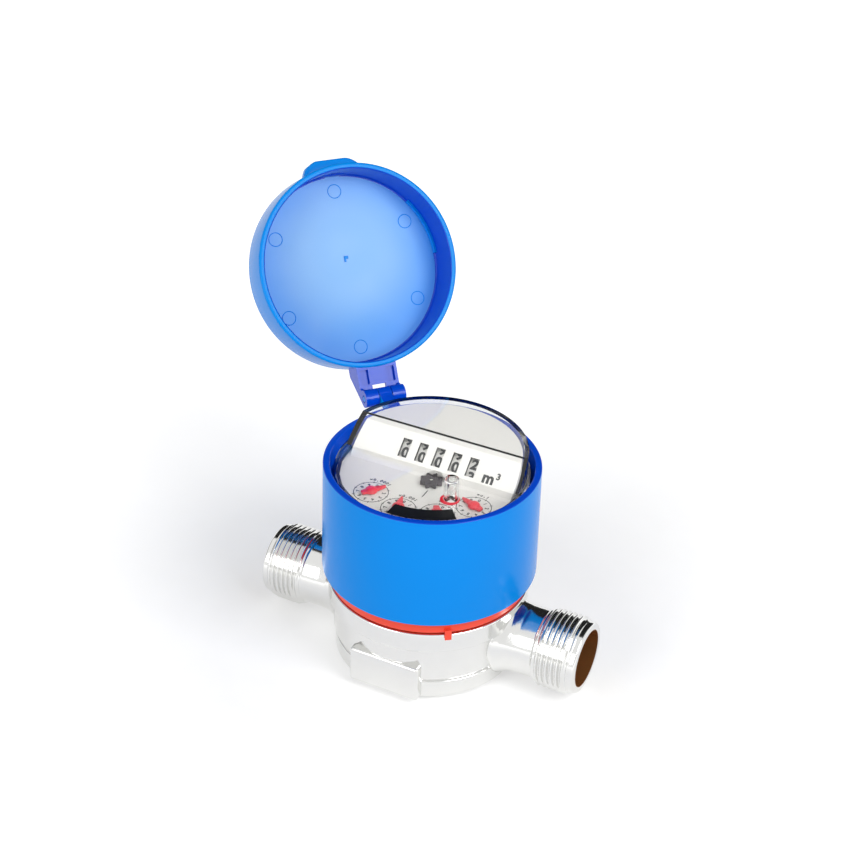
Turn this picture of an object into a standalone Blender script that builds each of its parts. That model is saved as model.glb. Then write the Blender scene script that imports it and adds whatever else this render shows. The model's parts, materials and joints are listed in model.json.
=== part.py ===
"""Single-jet dry-dial water meter for cold water, with its lid standing open.

Frame: X runs along the pipe, the outlet at +X. Y points to the dial's twelve o'clock. Z is up.
The origin is the middle of the flat base. Lengths are in metres, from values in millimetres.
"""
import math

import bmesh
import bpy
from mathutils import Matrix, Vector

MM = 0.001

# Driving dimensions of the pipe and the brass casting
LAYING_LENGTH = 115.0 * MM
AXIS_HEIGHT = 14.0 * MM
THREAD_ROOT_RADIUS = 12.06 * MM
THREAD_LENGTH = 14.6 * MM
STUB_RADIUS = 11.6 * MM
BORE_RADIUS = 9.6 * MM
BORE_DEPTH = 20.0 * MM
STRAINER_INSET = 12.0 * MM
BODY_RADIUS = 31.4 * MM
BODY_HEIGHT = 28.0 * MM
FOOT_RADIUS = 31.0 * MM
FOOT_HEIGHT = 7.0 * MM
FOOT_CHAMFER = 1.2 * MM
GROOVE_DEPTH = 0.9 * MM
COLLAR_RADIUS = 33.2 * MM
COLLAR_HEIGHT = 6.8 * MM
PAD_WIDTH = 24.5 * MM
PAD_HEIGHT = 13.0 * MM
PAD_REACH = 32.0 * MM
FLOOR = 3.5 * MM
SEAT_RADIUS = 28.5 * MM
SEAT_WIDTH = 3.0 * MM
SEAT_HEIGHT = 21.5 * MM
CHAMBER_RADIUS = SEAT_RADIUS - SEAT_WIDTH
PORT_RADIUS = 5.4 * MM
PORT_INSET = 10.5 * MM
PORT_OFFSET = CHAMBER_RADIUS - PORT_INSET

# Clearances
GAP = 0.3 * MM
RUNNING_GAP = 0.5 * MM

# Driving dimensions of the measuring unit
BLADES = 7
BLADE_TIP_GAP = 1.9 * MM
BLADE_RADIUS = CHAMBER_RADIUS - BLADE_TIP_GAP
BLADE_THICKNESS = 1.0 * MM
BLADE_HEIGHT = 10.5 * MM
HUB_RADIUS = 3.2 * MM
PIVOT_RADIUS = 0.9 * MM
O_RING_SECTION = 0.75 * MM
PLATE_THICKNESS = 1.7 * MM
DOME_RADIUS = 8.8 * MM
WALL = 1.3 * MM
MAGNET_RADIUS = 6.2 * MM
MAGNET_HEIGHT = 2.0 * MM
CLAMP_HEIGHT = 2.4 * MM
CLAMP_WIDTH = 4.2 * MM
BEARING_ROOF = 0.5 * MM
SHAFT_SEAT = 4.0 * MM

# Driving dimensions of the red lock ring
LOCK_RADIUS = COLLAR_RADIUS - GAP
LOCK_HEIGHT = 4.7 * MM
NUB_AZIMUTH = math.radians(-53.0)

# Driving dimensions of the register
CUP_RADIUS = 31.0 * MM
CUP_FOOT_RADIUS = 28.7 * MM
CUP_NECK_RADIUS = 27.2 * MM
CUP_FOOT = 2.0 * MM
CUP_SHOULDER = 37.2 * MM
DIAL_LEVEL = 66.0 * MM
DIAL_RISE = 9.3 * MM
DIAL_THICKNESS = 1.2 * MM
DIAL_CROWN_RADIUS = 28.5 * MM
DIAL_RADIUS = 30.6 * MM
SHELF_EDGE = 7.5 * MM
RAMP_ANGLE = math.radians(42.0)
COVER_RADIUS = 31.3 * MM
COVER_CROWN_RADIUS = 30.4 * MM
COVER_CLEARANCE = 3.6 * MM
COVER_LEVEL = DIAL_LEVEL + COVER_CLEARANCE
COVER_RISE = 8.2 * MM
COVER_TOP = COVER_LEVEL + COVER_RISE
COVER_WALL = 1.3 * MM
COVER_SHELF_EDGE = 7.8 * MM
BOSS_RADIUS = 2.3 * MM
BOSS_PLACE = (12.9 * MM, -13.0 * MM)
SEAL_HEIGHT = 0.6 * MM

# Driving dimensions of the counter
ROLLERS = 5
ROLLER_PITCH = 5.97 * MM
ROLLER_WIDTH = 4.4 * MM
ROLLER_RADIUS = 7.0 * MM
COUNTER_CENTRE = 0.6 * MM
WINDOW_WIDTH = 3.1 * MM
WINDOW_HEIGHT = 6.3 * MM
WINDOW_DROP = 5.8 * MM
COUNTER_SHAFT_RADIUS = 0.9 * MM
CARRY_SHAFT_RADIUS = 0.5 * MM
CARRY_WIDTH = 1.1 * MM
CARRY_MODULE = 0.572 * MM
CARRY_WHEEL_TEETH = 20
CARRY_PINION_TEETH = 8
WORM_WHEEL_RADIUS = 6.6 * MM
WORM_RADIUS = 2.8 * MM

# Driving dimensions of the wheel train
FOLLOWER_TEETH = 8
STAR_TEETH = 10
STAR_PLACE = (2.0 * MM, -4.6 * MM)
STAR_RADIUS = 3.8 * MM
STAR_LOBES = 8
STAR_THICKNESS = 1.3 * MM
PINION_TEETH = 6
WHEEL_TEETH = 24
IDLER_TEETH = 9
STEP_TEETH = 15
TRAIN_MODULE = 0.56 * MM
SHAFT_RADIUS = 0.55 * MM
STUD_RADIUS = 0.7 * MM
FACE_WIDTH = 0.9 * MM
LEVEL_STEP = 1.45 * MM
TOP_LEVEL = DIAL_LEVEL - 13.0 * MM
WORM_DRIVE_TEETH = 12
POINTERS = 4
POINTER_CIRCLE = 22.0 * MM
POINTER_FIRST = math.radians(-124.3)
POINTER_STEP = math.radians(32.3)
NEEDLE_REACH = 5.2 * MM
NEEDLE_TAIL = 3.3 * MM
NEEDLE_HUB = 1.7 * MM
NEEDLE_THICKNESS = 0.9 * MM
NEEDLE_TURNS = (54.0, 104.0, -60.0, 158.0)

# Driving dimensions of the blue cap and its lid
CAP_RADIUS = 34.9 * MM
CAP_FOOT_RADIUS = 35.3 * MM
CAP_WALL = 2.2 * MM
CAP_RISE = 6.0 * MM
CAP_TOP = DIAL_LEVEL + CAP_RISE
LEDGE_HEIGHT = 1.6 * MM
HINGE_AZIMUTH = math.radians(138.0)
HINGE_RADIUS = 45.0 * MM
HINGE_DROP = 1.5 * MM
HINGE_HEIGHT = CAP_TOP - HINGE_DROP
KNUCKLE_RADIUS = 3.0 * MM
KNUCKLE_WIDTH = 4.4 * MM
ARM_WIDTH = 4.6 * MM
HINGE_PLATE = 1.8 * MM
HINGE_PIN_RADIUS = 1.0 * MM
LID_RADIUS = 34.8 * MM
LID_WALL = 2.0 * MM
LID_DEPTH = 16.6 * MM
LID_OPEN = math.radians(121.5)
TAB_WIDTH = 22.0 * MM
TAB_REACH = 3.2 * MM
TAB_HEIGHT = 5.0 * MM

# Facets round a full turn
TINY = 8
COARSE = 16
MEDIUM = 24
FINE = 44

Z_AXIS = Vector((0.0, 0.0, 1.0))


def empty_scene():
    for old in list(bpy.data.objects):
        bpy.data.objects.remove(old)


def collection(name):
    group = bpy.data.collections.new(name)
    bpy.context.scene.collection.children.link(group)
    return group


empty_scene()
PARTS = collection("water_meter")
CUTTERS = collection("cutters")


def finish(name, colour, roughness, metallic=0.0, transmission=0.0):
    material = bpy.data.materials.new(name)
    material.use_nodes = True
    shader = material.node_tree.nodes["Principled BSDF"]
    shader.inputs["Base Color"].default_value = (*colour, 1.0)
    shader.inputs["Roughness"].default_value = roughness
    shader.inputs["Metallic"].default_value = metallic
    shader.inputs["Transmission Weight"].default_value = transmission
    material.diffuse_color = (*colour, 1.0)
    return material


NICKEL = finish("nickel_plated_brass", (0.78, 0.78, 0.77), 0.18, 1.0)
BRASS = finish("turned_brass", (0.62, 0.45, 0.2), 0.3, 1.0)
STEEL = finish("stainless_steel", (0.6, 0.6, 0.62), 0.3, 1.0)
MAGNET = finish("sintered_ferrite", (0.05, 0.05, 0.055), 0.6)
RUBBER = finish("black_rubber", (0.02, 0.02, 0.02), 0.7)
RED = finish("red_moulded_plastic", (1.0, 0.08, 0.03), 0.35)
BLUE = finish("blue_moulded_plastic", (0.0, 0.2, 0.9), 0.3)
WHITE = finish("white_dial_plastic", (0.85, 0.83, 0.8), 0.45)
CLEAR = finish("clear_polycarbonate", (0.95, 0.97, 1.0), 0.03, 0.0, 1.0)
IVORY = finish("natural_acetal", (0.8, 0.78, 0.7), 0.5)
GREY = finish("dark_grey_acetal", (0.1, 0.09, 0.1), 0.5)


def place(thing, material):
    """Puts a finished piece with the parts."""
    PARTS.objects.link(thing)
    thing.data.materials.append(material)
    return thing


def hide(thing):
    CUTTERS.objects.link(thing)
    thing.hide_render = True
    thing.display_type = "WIRE"
    return thing


def turned(name, profile, facets, closed=False):
    """An object that turns a profile of (radius, height) points once round Z."""
    mesh = bpy.data.meshes.new(name)
    count = len(profile)
    edges = [(i, i + 1) for i in range(count - 1)]
    if closed:
        edges.append((count - 1, 0))
    mesh.from_pydata([(radius, 0.0, height) for radius, height in profile], edges, [])
    thing = bpy.data.objects.new(name, mesh)
    screw = thing.modifiers.new("turn", "SCREW")
    screw.steps = facets
    screw.render_steps = facets
    screw.use_merge_vertices = True
    screw.merge_threshold = 0.00001
    screw.use_smooth_shade = True
    return thing


def disc(radius, top, bottom):
    """The profile of a plain solid cylinder."""
    return [(0.0, top), (radius, top), (radius, bottom), (0.0, bottom)]


def sleeve(outer, inner, top, bottom):
    """The closed profile of a plain ring."""
    return [(outer, top), (outer, bottom), (inner, bottom), (inner, top)]


def flat(name, outlines, bottom, top):
    """A solid with flat outlines in XY. The first is its edge and the others are holes."""
    curve = bpy.data.curves.new(name, "CURVE")
    curve.dimensions = "2D"
    curve.fill_mode = "BOTH"
    curve.extrude = (top - bottom) / 2.0
    for outline in outlines:
        spline = curve.splines.new("POLY")
        spline.points.add(len(outline) - 1)
        for point, (x, y) in zip(spline.points, outline):
            point.co = (x, y, 0.0, 1.0)
        spline.use_cyclic_u = True
    drawn = bpy.data.objects.new(name, curve)
    bpy.context.scene.collection.objects.link(drawn)
    bpy.context.view_layer.update()
    evaluated = drawn.evaluated_get(bpy.context.evaluated_depsgraph_get())
    mesh = bpy.data.meshes.new_from_object(evaluated)
    bpy.data.objects.remove(drawn)
    sheet = bmesh.new()
    sheet.from_mesh(mesh)
    bmesh.ops.remove_doubles(sheet, verts=sheet.verts, dist=0.000001)
    bmesh.ops.recalc_face_normals(sheet, faces=sheet.faces)
    bmesh.ops.translate(sheet, verts=sheet.verts, vec=(0.0, 0.0, (top + bottom) / 2.0))
    sheet.to_mesh(mesh)
    sheet.free()
    mesh.name = name
    return bpy.data.objects.new(name, mesh)


def block(name, low, high):
    """A box between two corners."""
    shape = bmesh.new()
    bmesh.ops.create_cube(shape, size=1.0)
    size = Vector(high) - Vector(low)
    middle = (Vector(high) + Vector(low)) / 2.0
    bmesh.ops.scale(shape, verts=shape.verts, vec=size)
    bmesh.ops.translate(shape, verts=shape.verts, vec=middle)
    mesh = bpy.data.meshes.new(name)
    shape.to_mesh(mesh)
    shape.free()
    return bpy.data.objects.new(name, mesh)


def rod(name, start, end, radius, facets=COARSE):
    """A cylinder between two points."""
    start, end = Vector(start), Vector(end)
    shape = bmesh.new()
    bmesh.ops.create_cone(shape, cap_ends=True, segments=facets, radius1=radius, radius2=radius,
                          depth=(end - start).length)
    mesh = bpy.data.meshes.new(name)
    shape.to_mesh(mesh)
    shape.free()
    turn = Z_AXIS.rotation_difference((end - start).normalized()).to_matrix().to_4x4()
    mesh.transform(Matrix.Translation((start + end) / 2.0) @ turn)
    return bpy.data.objects.new(name, mesh)


def circle(radius, centre=(0.0, 0.0), facets=COARSE):
    steps = [math.tau * i / facets for i in range(facets)]
    return [(centre[0] + radius * math.cos(a), centre[1] + radius * math.sin(a)) for a in steps]


def polar(radius, angle):
    return (radius * math.cos(angle), radius * math.sin(angle))


def change(thing, tool, operation):
    """Cuts, joins or crosses an object with a hidden one."""
    if tool.name not in CUTTERS.objects:
        hide(tool)
    step = thing.modifiers.new(operation.lower(), "BOOLEAN")
    step.operation = operation
    step.solver = "EXACT"
    step.object = tool
    return thing


def cut(thing, tool):
    return change(thing, tool, "DIFFERENCE")


def join(thing, tool):
    return change(thing, tool, "UNION")


def side_prism(name, outline, half_width):
    """A solid with an outline of (y, z) points, pushed out both ways along X."""
    thing = flat(name, [outline], -half_width, half_width)
    thing.data.transform(Matrix.Rotation(math.radians(90.0), 4, "Z") @ Matrix.Rotation(math.radians(90.0), 4, "X"))
    return thing


# The brass casting
STUB_TURN = Matrix.Translation((0.0, 0.0, AXIS_HEIGHT)) @ Matrix.Rotation(math.radians(90.0), 4, "Y")
INLET_TURN = Matrix.Rotation(math.pi, 4, "Z") @ STUB_TURN
END_X = LAYING_LENGTH / 2.0


def stub_profile():
    """One stub along its own axis, from its end face inwards. Its thick end is the core of a pipe thread."""
    end = END_X - THREAD_LENGTH
    return [(0.0, END_X), (STUB_RADIUS, END_X), (THREAD_ROOT_RADIUS, END_X - 0.5 * MM), (THREAD_ROOT_RADIUS, end),
            (STUB_RADIUS, end - 0.6 * MM), (STUB_RADIUS, CHAMBER_RADIUS + GAP), (0.0, CHAMBER_RADIUS + GAP)]


def meter_body():
    groove = FOOT_RADIUS - GROOVE_DEPTH
    collar_foot = BODY_HEIGHT - COLLAR_HEIGHT
    outline = [
        (0.0, BODY_HEIGHT), (COLLAR_RADIUS, BODY_HEIGHT), (COLLAR_RADIUS, collar_foot),
        (BODY_RADIUS, collar_foot - 0.9 * MM), (BODY_RADIUS, FOOT_HEIGHT + 1.4 * MM),
        (groove, FOOT_HEIGHT + 0.9 * MM), (groove, FOOT_HEIGHT + 0.3 * MM), (FOOT_RADIUS, FOOT_HEIGHT),
        (FOOT_RADIUS, FOOT_CHAMFER), (FOOT_RADIUS - FOOT_CHAMFER, 0.0), (0.0, 0.0),
    ]
    body = place(turned("meter_body", outline, FINE), NICKEL)
    for side in (0.0, math.pi):
        stub = turned("stub_form", stub_profile(), MEDIUM)
        stub.matrix_world = Matrix.Rotation(side, 4, "Z") @ STUB_TURN
        join(body, stub)
    pad = block("pad_form", (-PAD_WIDTH / 2.0, -PAD_REACH, FOOT_CHAMFER),
                (PAD_WIDTH / 2.0, PAD_REACH, FOOT_CHAMFER + PAD_HEIGHT))
    join(body, pad)
    chamber = [(0.0, BODY_HEIGHT + MM), (SEAT_RADIUS, BODY_HEIGHT + MM), (SEAT_RADIUS, SEAT_HEIGHT),
               (CHAMBER_RADIUS, SEAT_HEIGHT), (CHAMBER_RADIUS, FLOOR), (HUB_RADIUS, FLOOR),
               (HUB_RADIUS, FLOOR + 2.0 * MM), (PIVOT_RADIUS + GAP, FLOOR + 2.0 * MM),
               (PIVOT_RADIUS + GAP, FLOOR - MM), (0.0, FLOOR - MM)]
    cut(body, turned("chamber_form", chamber, MEDIUM))
    inner_end = END_X - BORE_DEPTH
    for side in (-1.0, 1.0):
        cut(body, rod("bore_form", (side * (END_X + MM), 0.0, AXIS_HEIGHT), (side * inner_end, 0.0, AXIS_HEIGHT),
                      BORE_RADIUS, MEDIUM))
        cut(body, rod("port_form", (side * (inner_end + 2.0 * MM), 0.0, AXIS_HEIGHT),
                      (side * PORT_OFFSET, PORT_OFFSET, AXIS_HEIGHT), PORT_RADIUS, COARSE))
    return body


def inlet_strainer():
    """A moulded basket in the inlet bore, with slots round its cone."""
    outer = BORE_RADIUS - GAP
    mouth = END_X - STRAINER_INSET
    tip = END_X - BORE_DEPTH + GAP
    rim = 1.4 * MM
    nose = 3.0 * MM
    cone = [(0.0, tip + MM), (nose - 0.6 * MM, tip + MM), (outer - 2.4 * MM, mouth - rim),
            (outer - 2.4 * MM, mouth), (outer, mouth), (outer, mouth - rim), (outer - 1.2 * MM, mouth - rim),
            (nose, tip), (0.0, tip)]
    basket = turned("inlet_strainer", cone, COARSE)
    slots = 4
    for index in range(slots):
        slot = block("slot_form", (-outer, -0.6 * MM, tip + 1.6 * MM), (outer, 0.6 * MM, mouth - rim - 0.5 * MM))
        slot.data.transform(Matrix.Rotation(math.pi * index / slots, 4, "Z"))
        cut(basket, slot)
        slot.matrix_world = INLET_TURN
    basket.matrix_world = INLET_TURN
    return place(basket, IVORY)


# The measuring unit
PLATE_BOTTOM = SEAT_HEIGHT + 2.0 * (O_RING_SECTION + GAP)
PLATE_TOP = PLATE_BOTTOM + PLATE_THICKNESS
DOME_TOP = BODY_HEIGHT - 0.1 * MM
DOME_CEILING = DOME_TOP - WALL
BLADE_FOOT = FLOOR + 3.5 * MM
BLADE_TOP = BLADE_FOOT + BLADE_HEIGHT
HUB_TOP = DOME_CEILING - RUNNING_GAP
MAGNET_FOOT = HUB_TOP - MAGNET_HEIGHT


def separator_plate():
    """The pressure plate, with a dome for the magnet and a bearing hole for the shaft."""
    spigot = CHAMBER_RADIUS - GAP
    inner = spigot - 1.8 * MM
    ceiling = PLATE_BOTTOM - 0.6 * MM
    foot = SEAT_HEIGHT - 0.6 * MM
    hole = SHAFT_RADIUS + GAP
    profile = [
        (0.0, DOME_TOP), (DOME_RADIUS - 0.4 * MM, DOME_TOP), (DOME_RADIUS, PLATE_TOP),
        (SEAT_RADIUS - GAP, PLATE_TOP), (SEAT_RADIUS - GAP, PLATE_BOTTOM), (spigot, PLATE_BOTTOM),
        (spigot, foot), (inner, foot), (inner, ceiling), (DOME_RADIUS - WALL, ceiling),
        (DOME_RADIUS - WALL, DOME_CEILING), (hole, DOME_CEILING), (hole, DOME_TOP - BEARING_ROOF),
        (0.0, DOME_TOP - BEARING_ROOF),
    ]
    return place(turned("separator_plate", profile, MEDIUM), IVORY)


def plate_o_ring():
    """The seal between the casting's seat and the plate's rim, with a round section."""
    middle = (SEAT_RADIUS + CHAMBER_RADIUS) / 2.0 - GAP
    height = SEAT_HEIGHT + GAP + O_RING_SECTION
    sides = 6
    turns = [-math.tau * i / sides for i in range(sides)]
    section = [(middle + O_RING_SECTION * math.cos(a), height + O_RING_SECTION * math.sin(a)) for a in turns]
    return place(turned("plate_o_ring", section, MEDIUM, closed=True), RUBBER)


def clamp_ring():
    """The brass ring that screws down on the plate, with notches for its key."""
    outer = SEAT_RADIUS - GAP
    low = PLATE_TOP + GAP
    high = low + CLAMP_HEIGHT
    ring = place(turned("clamp_ring", sleeve(outer, outer - CLAMP_WIDTH, high, low), MEDIUM, closed=True), BRASS)
    for index in range(2):
        notch = block("notch_form", (-SEAT_RADIUS, -1.5 * MM, high - CLAMP_HEIGHT / 2.0),
                      (SEAT_RADIUS, 1.5 * MM, high + MM))
        notch.data.transform(Matrix.Rotation(math.pi * index / 2.0, 4, "Z"))
        cut(ring, notch)
    return ring


def lower_pivot():
    return place(turned("lower_pivot", disc(PIVOT_RADIUS, BLADE_FOOT + 2.0 * MM, FLOOR - MM + GAP), COARSE), STEEL)


def impeller():
    """The vane wheel: its hub runs on the lower pivot and carries the magnet at its top."""
    socket = PIVOT_RADIUS + GAP
    shaft_hole = SHAFT_RADIUS + GAP
    profile = [
        (shaft_hole, HUB_TOP), (MAGNET_RADIUS - 3.6 * MM, HUB_TOP), (MAGNET_RADIUS - 3.6 * MM, MAGNET_FOOT),
        (MAGNET_RADIUS + 0.4 * MM, MAGNET_FOOT), (MAGNET_RADIUS + 0.4 * MM, MAGNET_FOOT - 0.8 * MM),
        (HUB_RADIUS, MAGNET_FOOT - 0.8 * MM), (HUB_RADIUS, BLADE_FOOT), (socket, BLADE_FOOT),
        (socket, BLADE_FOOT + 2.0 * MM + GAP), (0.0, BLADE_FOOT + 2.0 * MM + GAP),
    ]
    profile = [(0.0, HUB_TOP - SHAFT_SEAT), (shaft_hole, HUB_TOP - SHAFT_SEAT)] + profile
    wheel = place(turned("impeller", profile, COARSE), IVORY)
    for index in range(BLADES):
        blade = block("blade_form", (HUB_RADIUS - 0.6 * MM, -BLADE_THICKNESS / 2.0, BLADE_FOOT + 0.2 * MM),
                      (BLADE_RADIUS, BLADE_THICKNESS / 2.0, BLADE_TOP))
        blade.data.transform(Matrix.Rotation(math.tau * index / BLADES, 4, "Z"))
        join(wheel, blade)
    return wheel


def impeller_magnet():
    inner = MAGNET_RADIUS - 3.6 * MM + GAP
    low = MAGNET_FOOT + GAP
    return place(turned("impeller_magnet", sleeve(MAGNET_RADIUS, inner, HUB_TOP, low), COARSE, closed=True), MAGNET)


def impeller_shaft():
    top = DOME_TOP - BEARING_ROOF - GAP
    return place(turned("impeller_shaft", disc(SHAFT_RADIUS, top, HUB_TOP - SHAFT_SEAT + GAP), COARSE), STEEL)


# The red lock ring, which clips the register's foot to the casting's collar
LOCK_FOOT = BODY_HEIGHT + GAP
LOCK_TOP = LOCK_FOOT + LOCK_HEIGHT
LOCK_LIP = LOCK_FOOT + CUP_FOOT + GAP


def red_lock_ring():
    inner = CUP_FOOT_RADIUS + GAP
    lip = CUP_NECK_RADIUS + GAP
    section = [(LOCK_RADIUS, LOCK_TOP), (LOCK_RADIUS, LOCK_FOOT + 0.6 * MM), (LOCK_RADIUS - 0.5 * MM, LOCK_FOOT),
               (inner, LOCK_FOOT), (inner, LOCK_LIP), (lip, LOCK_LIP), (lip, LOCK_TOP)]
    ring = place(turned("red_lock_ring", section, FINE, closed=True), RED)
    nub = block("nub_form", (LOCK_RADIUS - MM, -1.1 * MM, LOCK_FOOT + 0.3 * MM),
                (LOCK_RADIUS + 1.3 * MM, 1.1 * MM, LOCK_FOOT + 2.0 * MM))
    catch = block("catch_form", (COLLAR_RADIUS + GAP, -1.1 * MM, LOCK_FOOT - 1.8 * MM),
                  (LOCK_RADIUS + 1.3 * MM, 1.1 * MM, LOCK_FOOT + 1.0 * MM))
    for form in (nub, catch):
        form.data.transform(Matrix.Rotation(NUB_AZIMUTH, 4, "Z"))
        join(ring, form)
    return ring


# The register's cup and movement plates
CUP_INNER = CUP_RADIUS - WALL
CUP_NECK_INNER = CUP_NECK_RADIUS - WALL
CUP_FLOOR = LOCK_FOOT + CUP_FOOT - GAP
LOWER_PLATE = CUP_SHOULDER + GAP
LOWER_PLATE_TOP = LOWER_PLATE + 1.4 * MM
UPPER_PLATE = TOP_LEVEL + FACE_WIDTH / 2.0 + 2.0 * GAP + 0.6 * MM
UPPER_PLATE_TOP = UPPER_PLATE + 1.4 * MM
DIAL_BOTTOM = DIAL_LEVEL - DIAL_THICKNESS
CUP_TOP = DIAL_BOTTOM - GAP


def register_cup():
    profile = [
        (0.0, CUP_FLOOR), (CUP_NECK_INNER, CUP_FLOOR), (CUP_NECK_INNER, CUP_SHOULDER - 2.3 * MM),
        (CUP_INNER, CUP_SHOULDER), (CUP_INNER, CUP_TOP), (CUP_RADIUS, CUP_TOP),
        (CUP_RADIUS, CUP_SHOULDER - 0.7 * MM), (CUP_NECK_RADIUS, CUP_SHOULDER - 3.0 * MM),
        (CUP_NECK_RADIUS, LOCK_FOOT + CUP_FOOT), (CUP_FOOT_RADIUS, LOCK_FOOT + CUP_FOOT),
        (CUP_FOOT_RADIUS, LOCK_FOOT), (0.0, LOCK_FOOT),
    ]
    return place(turned("register_cup", profile, MEDIUM), WHITE)


# The wheel train: where each arbor stands and how its teeth fall
def level(number):
    """The middle height of one layer of wheels, from 1 at the top."""
    return TOP_LEVEL - (number - 1) * LEVEL_STEP


def meet(first, first_reach, second, second_reach, side):
    """A point at given distances from two others, on the left (1) or right (-1) of the line between them."""
    first, second = Vector(first), Vector(second)
    line = second - first
    along = (first_reach ** 2 - second_reach ** 2 + line.length ** 2) / (2.0 * line.length)
    off = math.sqrt(first_reach ** 2 - along ** 2)
    ahead = line.normalized()
    across = Vector((-ahead.y, ahead.x))
    return tuple(first + ahead * along + across * off * side)


def mesh_distance(first_teeth, second_teeth, module):
    return module * (first_teeth + second_teeth) / 2.0


def mesh_phase(driver, driver_teeth, driver_phase, driven, driven_teeth):
    """The phase at which a driven wheel's gaps meet its driver's teeth."""
    way = math.atan2(driven[1] - driver[1], driven[0] - driver[0])
    ahead = (way - driver_phase) / (math.tau / driver_teeth)
    return way + math.pi - (0.5 - ahead) * math.tau / driven_teeth


def tooth_ring(teeth, module, phase, pointed=False):
    """The outline of a small spur wheel, with slim teeth that leave room to run."""
    pitch = math.tau / teeth
    root = (teeth / 2.0 - 1.1) * module
    tip = (teeth / 2.0 + 0.6) * module
    tooth_form = ((root, -0.5), (tip, 0.0)) if pointed else ((root, -0.5), (tip, -0.06), (tip, 0.06))
    outline = []
    for tooth in range(teeth):
        middle = phase + tooth * pitch
        for radius, share in tooth_form:
            outline.append(polar(radius, middle + share * pitch))
    return outline


def arbor(name, centre, wheels, shaft=None, bore=None, material=IVORY):
    """A turning piece: wheels of (teeth, module, phase, low, high) round one shaft or bore."""
    teeth, module, phase, low, high = wheels[0]
    piece = flat(name, [tooth_ring(teeth, module, phase)], low, high)
    for teeth, module, phase, low, high in wheels[1:]:
        other = flat("wheel_form", [tooth_ring(teeth, module, phase)], low, high)
        other.location = (centre[0], centre[1], 0.0)
        join(piece, other)
    if shaft:
        radius, low, high = shaft
        core = turned("shaft_form", disc(radius, high, low), TINY)
        core.location = (centre[0], centre[1], 0.0)
        join(piece, core)
    if bore:
        hole = turned("bore_form", disc(bore, TOP_LEVEL + 4.0 * MM, LOWER_PLATE), TINY)
        hole.location = (centre[0], centre[1], 0.0)
        cut(piece, hole)
    piece.location = (centre[0], centre[1], 0.0)
    return place(piece, material)


FOLLOWER = (0.0, 0.0)
STAR_MODULE = 2.0 * math.hypot(*STAR_PLACE) / (FOLLOWER_TEETH + STAR_TEETH)
POINTER_PLACES = [polar(POINTER_CIRCLE, POINTER_FIRST + i * POINTER_STEP) for i in range(POINTERS)]
REDUCTION = meet(STAR_PLACE, mesh_distance(PINION_TEETH, WHEEL_TEETH, TRAIN_MODULE), POINTER_PLACES[0],
                 mesh_distance(IDLER_TEETH, WHEEL_TEETH, TRAIN_MODULE) + 2.6 * MM, 1)
IDLER = meet(REDUCTION, mesh_distance(PINION_TEETH, IDLER_TEETH, TRAIN_MODULE), POINTER_PLACES[0],
             mesh_distance(IDLER_TEETH, WHEEL_TEETH, TRAIN_MODULE), -1)
STEP_PLACES = [meet(POINTER_PLACES[i], mesh_distance(PINION_TEETH, STEP_TEETH, TRAIN_MODULE),
                    POINTER_PLACES[i + 1], mesh_distance(PINION_TEETH, WHEEL_TEETH, TRAIN_MODULE), -1)
               for i in range(POINTERS - 1)]


# The dial's slope, where the counter lies below its windows
def wedge(edge, top, offset, bottom):
    """The side of a raised part with a flat top and a slope, drawn in by an offset all round."""
    shift = offset / math.sin(RAMP_ANGLE)
    slope = math.tan(RAMP_ANGLE)
    foot_y = edge + shift - (top - bottom) / slope
    edge_y = edge + shift - offset / slope
    back = CAP_RADIUS + 5.0 * MM
    return [(foot_y, bottom), (edge_y, top - offset), (back, top - offset), (back, bottom)]


DIAL_TOP = DIAL_LEVEL + DIAL_RISE
SLOPE_DOWN = Vector((0.0, -math.cos(RAMP_ANGLE), -math.sin(RAMP_ANGLE)))
SLOPE_OUT = Vector((0.0, -math.sin(RAMP_ANGLE), math.cos(RAMP_ANGLE)))
WINDOW_MIDDLE = Vector((0.0, SHELF_EDGE, DIAL_TOP)) + SLOPE_DOWN * WINDOW_DROP
COUNTER = WINDOW_MIDDLE - SLOPE_OUT * (DIAL_THICKNESS + GAP + ROLLER_RADIUS)
CARRY_REACH = mesh_distance(CARRY_WHEEL_TEETH, CARRY_PINION_TEETH, CARRY_MODULE)
CARRY = COUNTER + Vector((0.0, CARRY_REACH, 0.0))
ROLLER_PLACES = [COUNTER_CENTRE + (i - (ROLLERS - 1) / 2.0) * ROLLER_PITCH for i in range(ROLLERS)]
WORM_PITCH = math.tau * WORM_WHEEL_RADIUS / CARRY_WHEEL_TEETH
WORM_Y = COUNTER.y - WORM_WHEEL_RADIUS - WORM_RADIUS
WORM_REACH = mesh_distance(WHEEL_TEETH, WORM_DRIVE_TEETH, TRAIN_MODULE)
LAST_POINTER = POINTER_PLACES[-1]
WORM_X = LAST_POINTER[0] - math.sqrt(WORM_REACH ** 2 - (WORM_Y - LAST_POINTER[1]) ** 2)
WORM_PLACE = (WORM_X, WORM_Y)
WORM_WHEEL_WIDTH = 1.6 * MM
CHEEK = 1.4 * MM
LEFT_CHEEK = ROLLER_PLACES[0] - ROLLER_WIDTH / 2.0 - RUNNING_GAP - CHEEK
RIGHT_CHEEK = WORM_X + WORM_WHEEL_WIDTH / 2.0 + RUNNING_GAP
PILLARS = [polar(26.3 * MM, math.radians(a)) for a in (2.0, 62.0, 124.0, 196.0)]
PILLAR_RADIUS = 1.5 * MM


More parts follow.
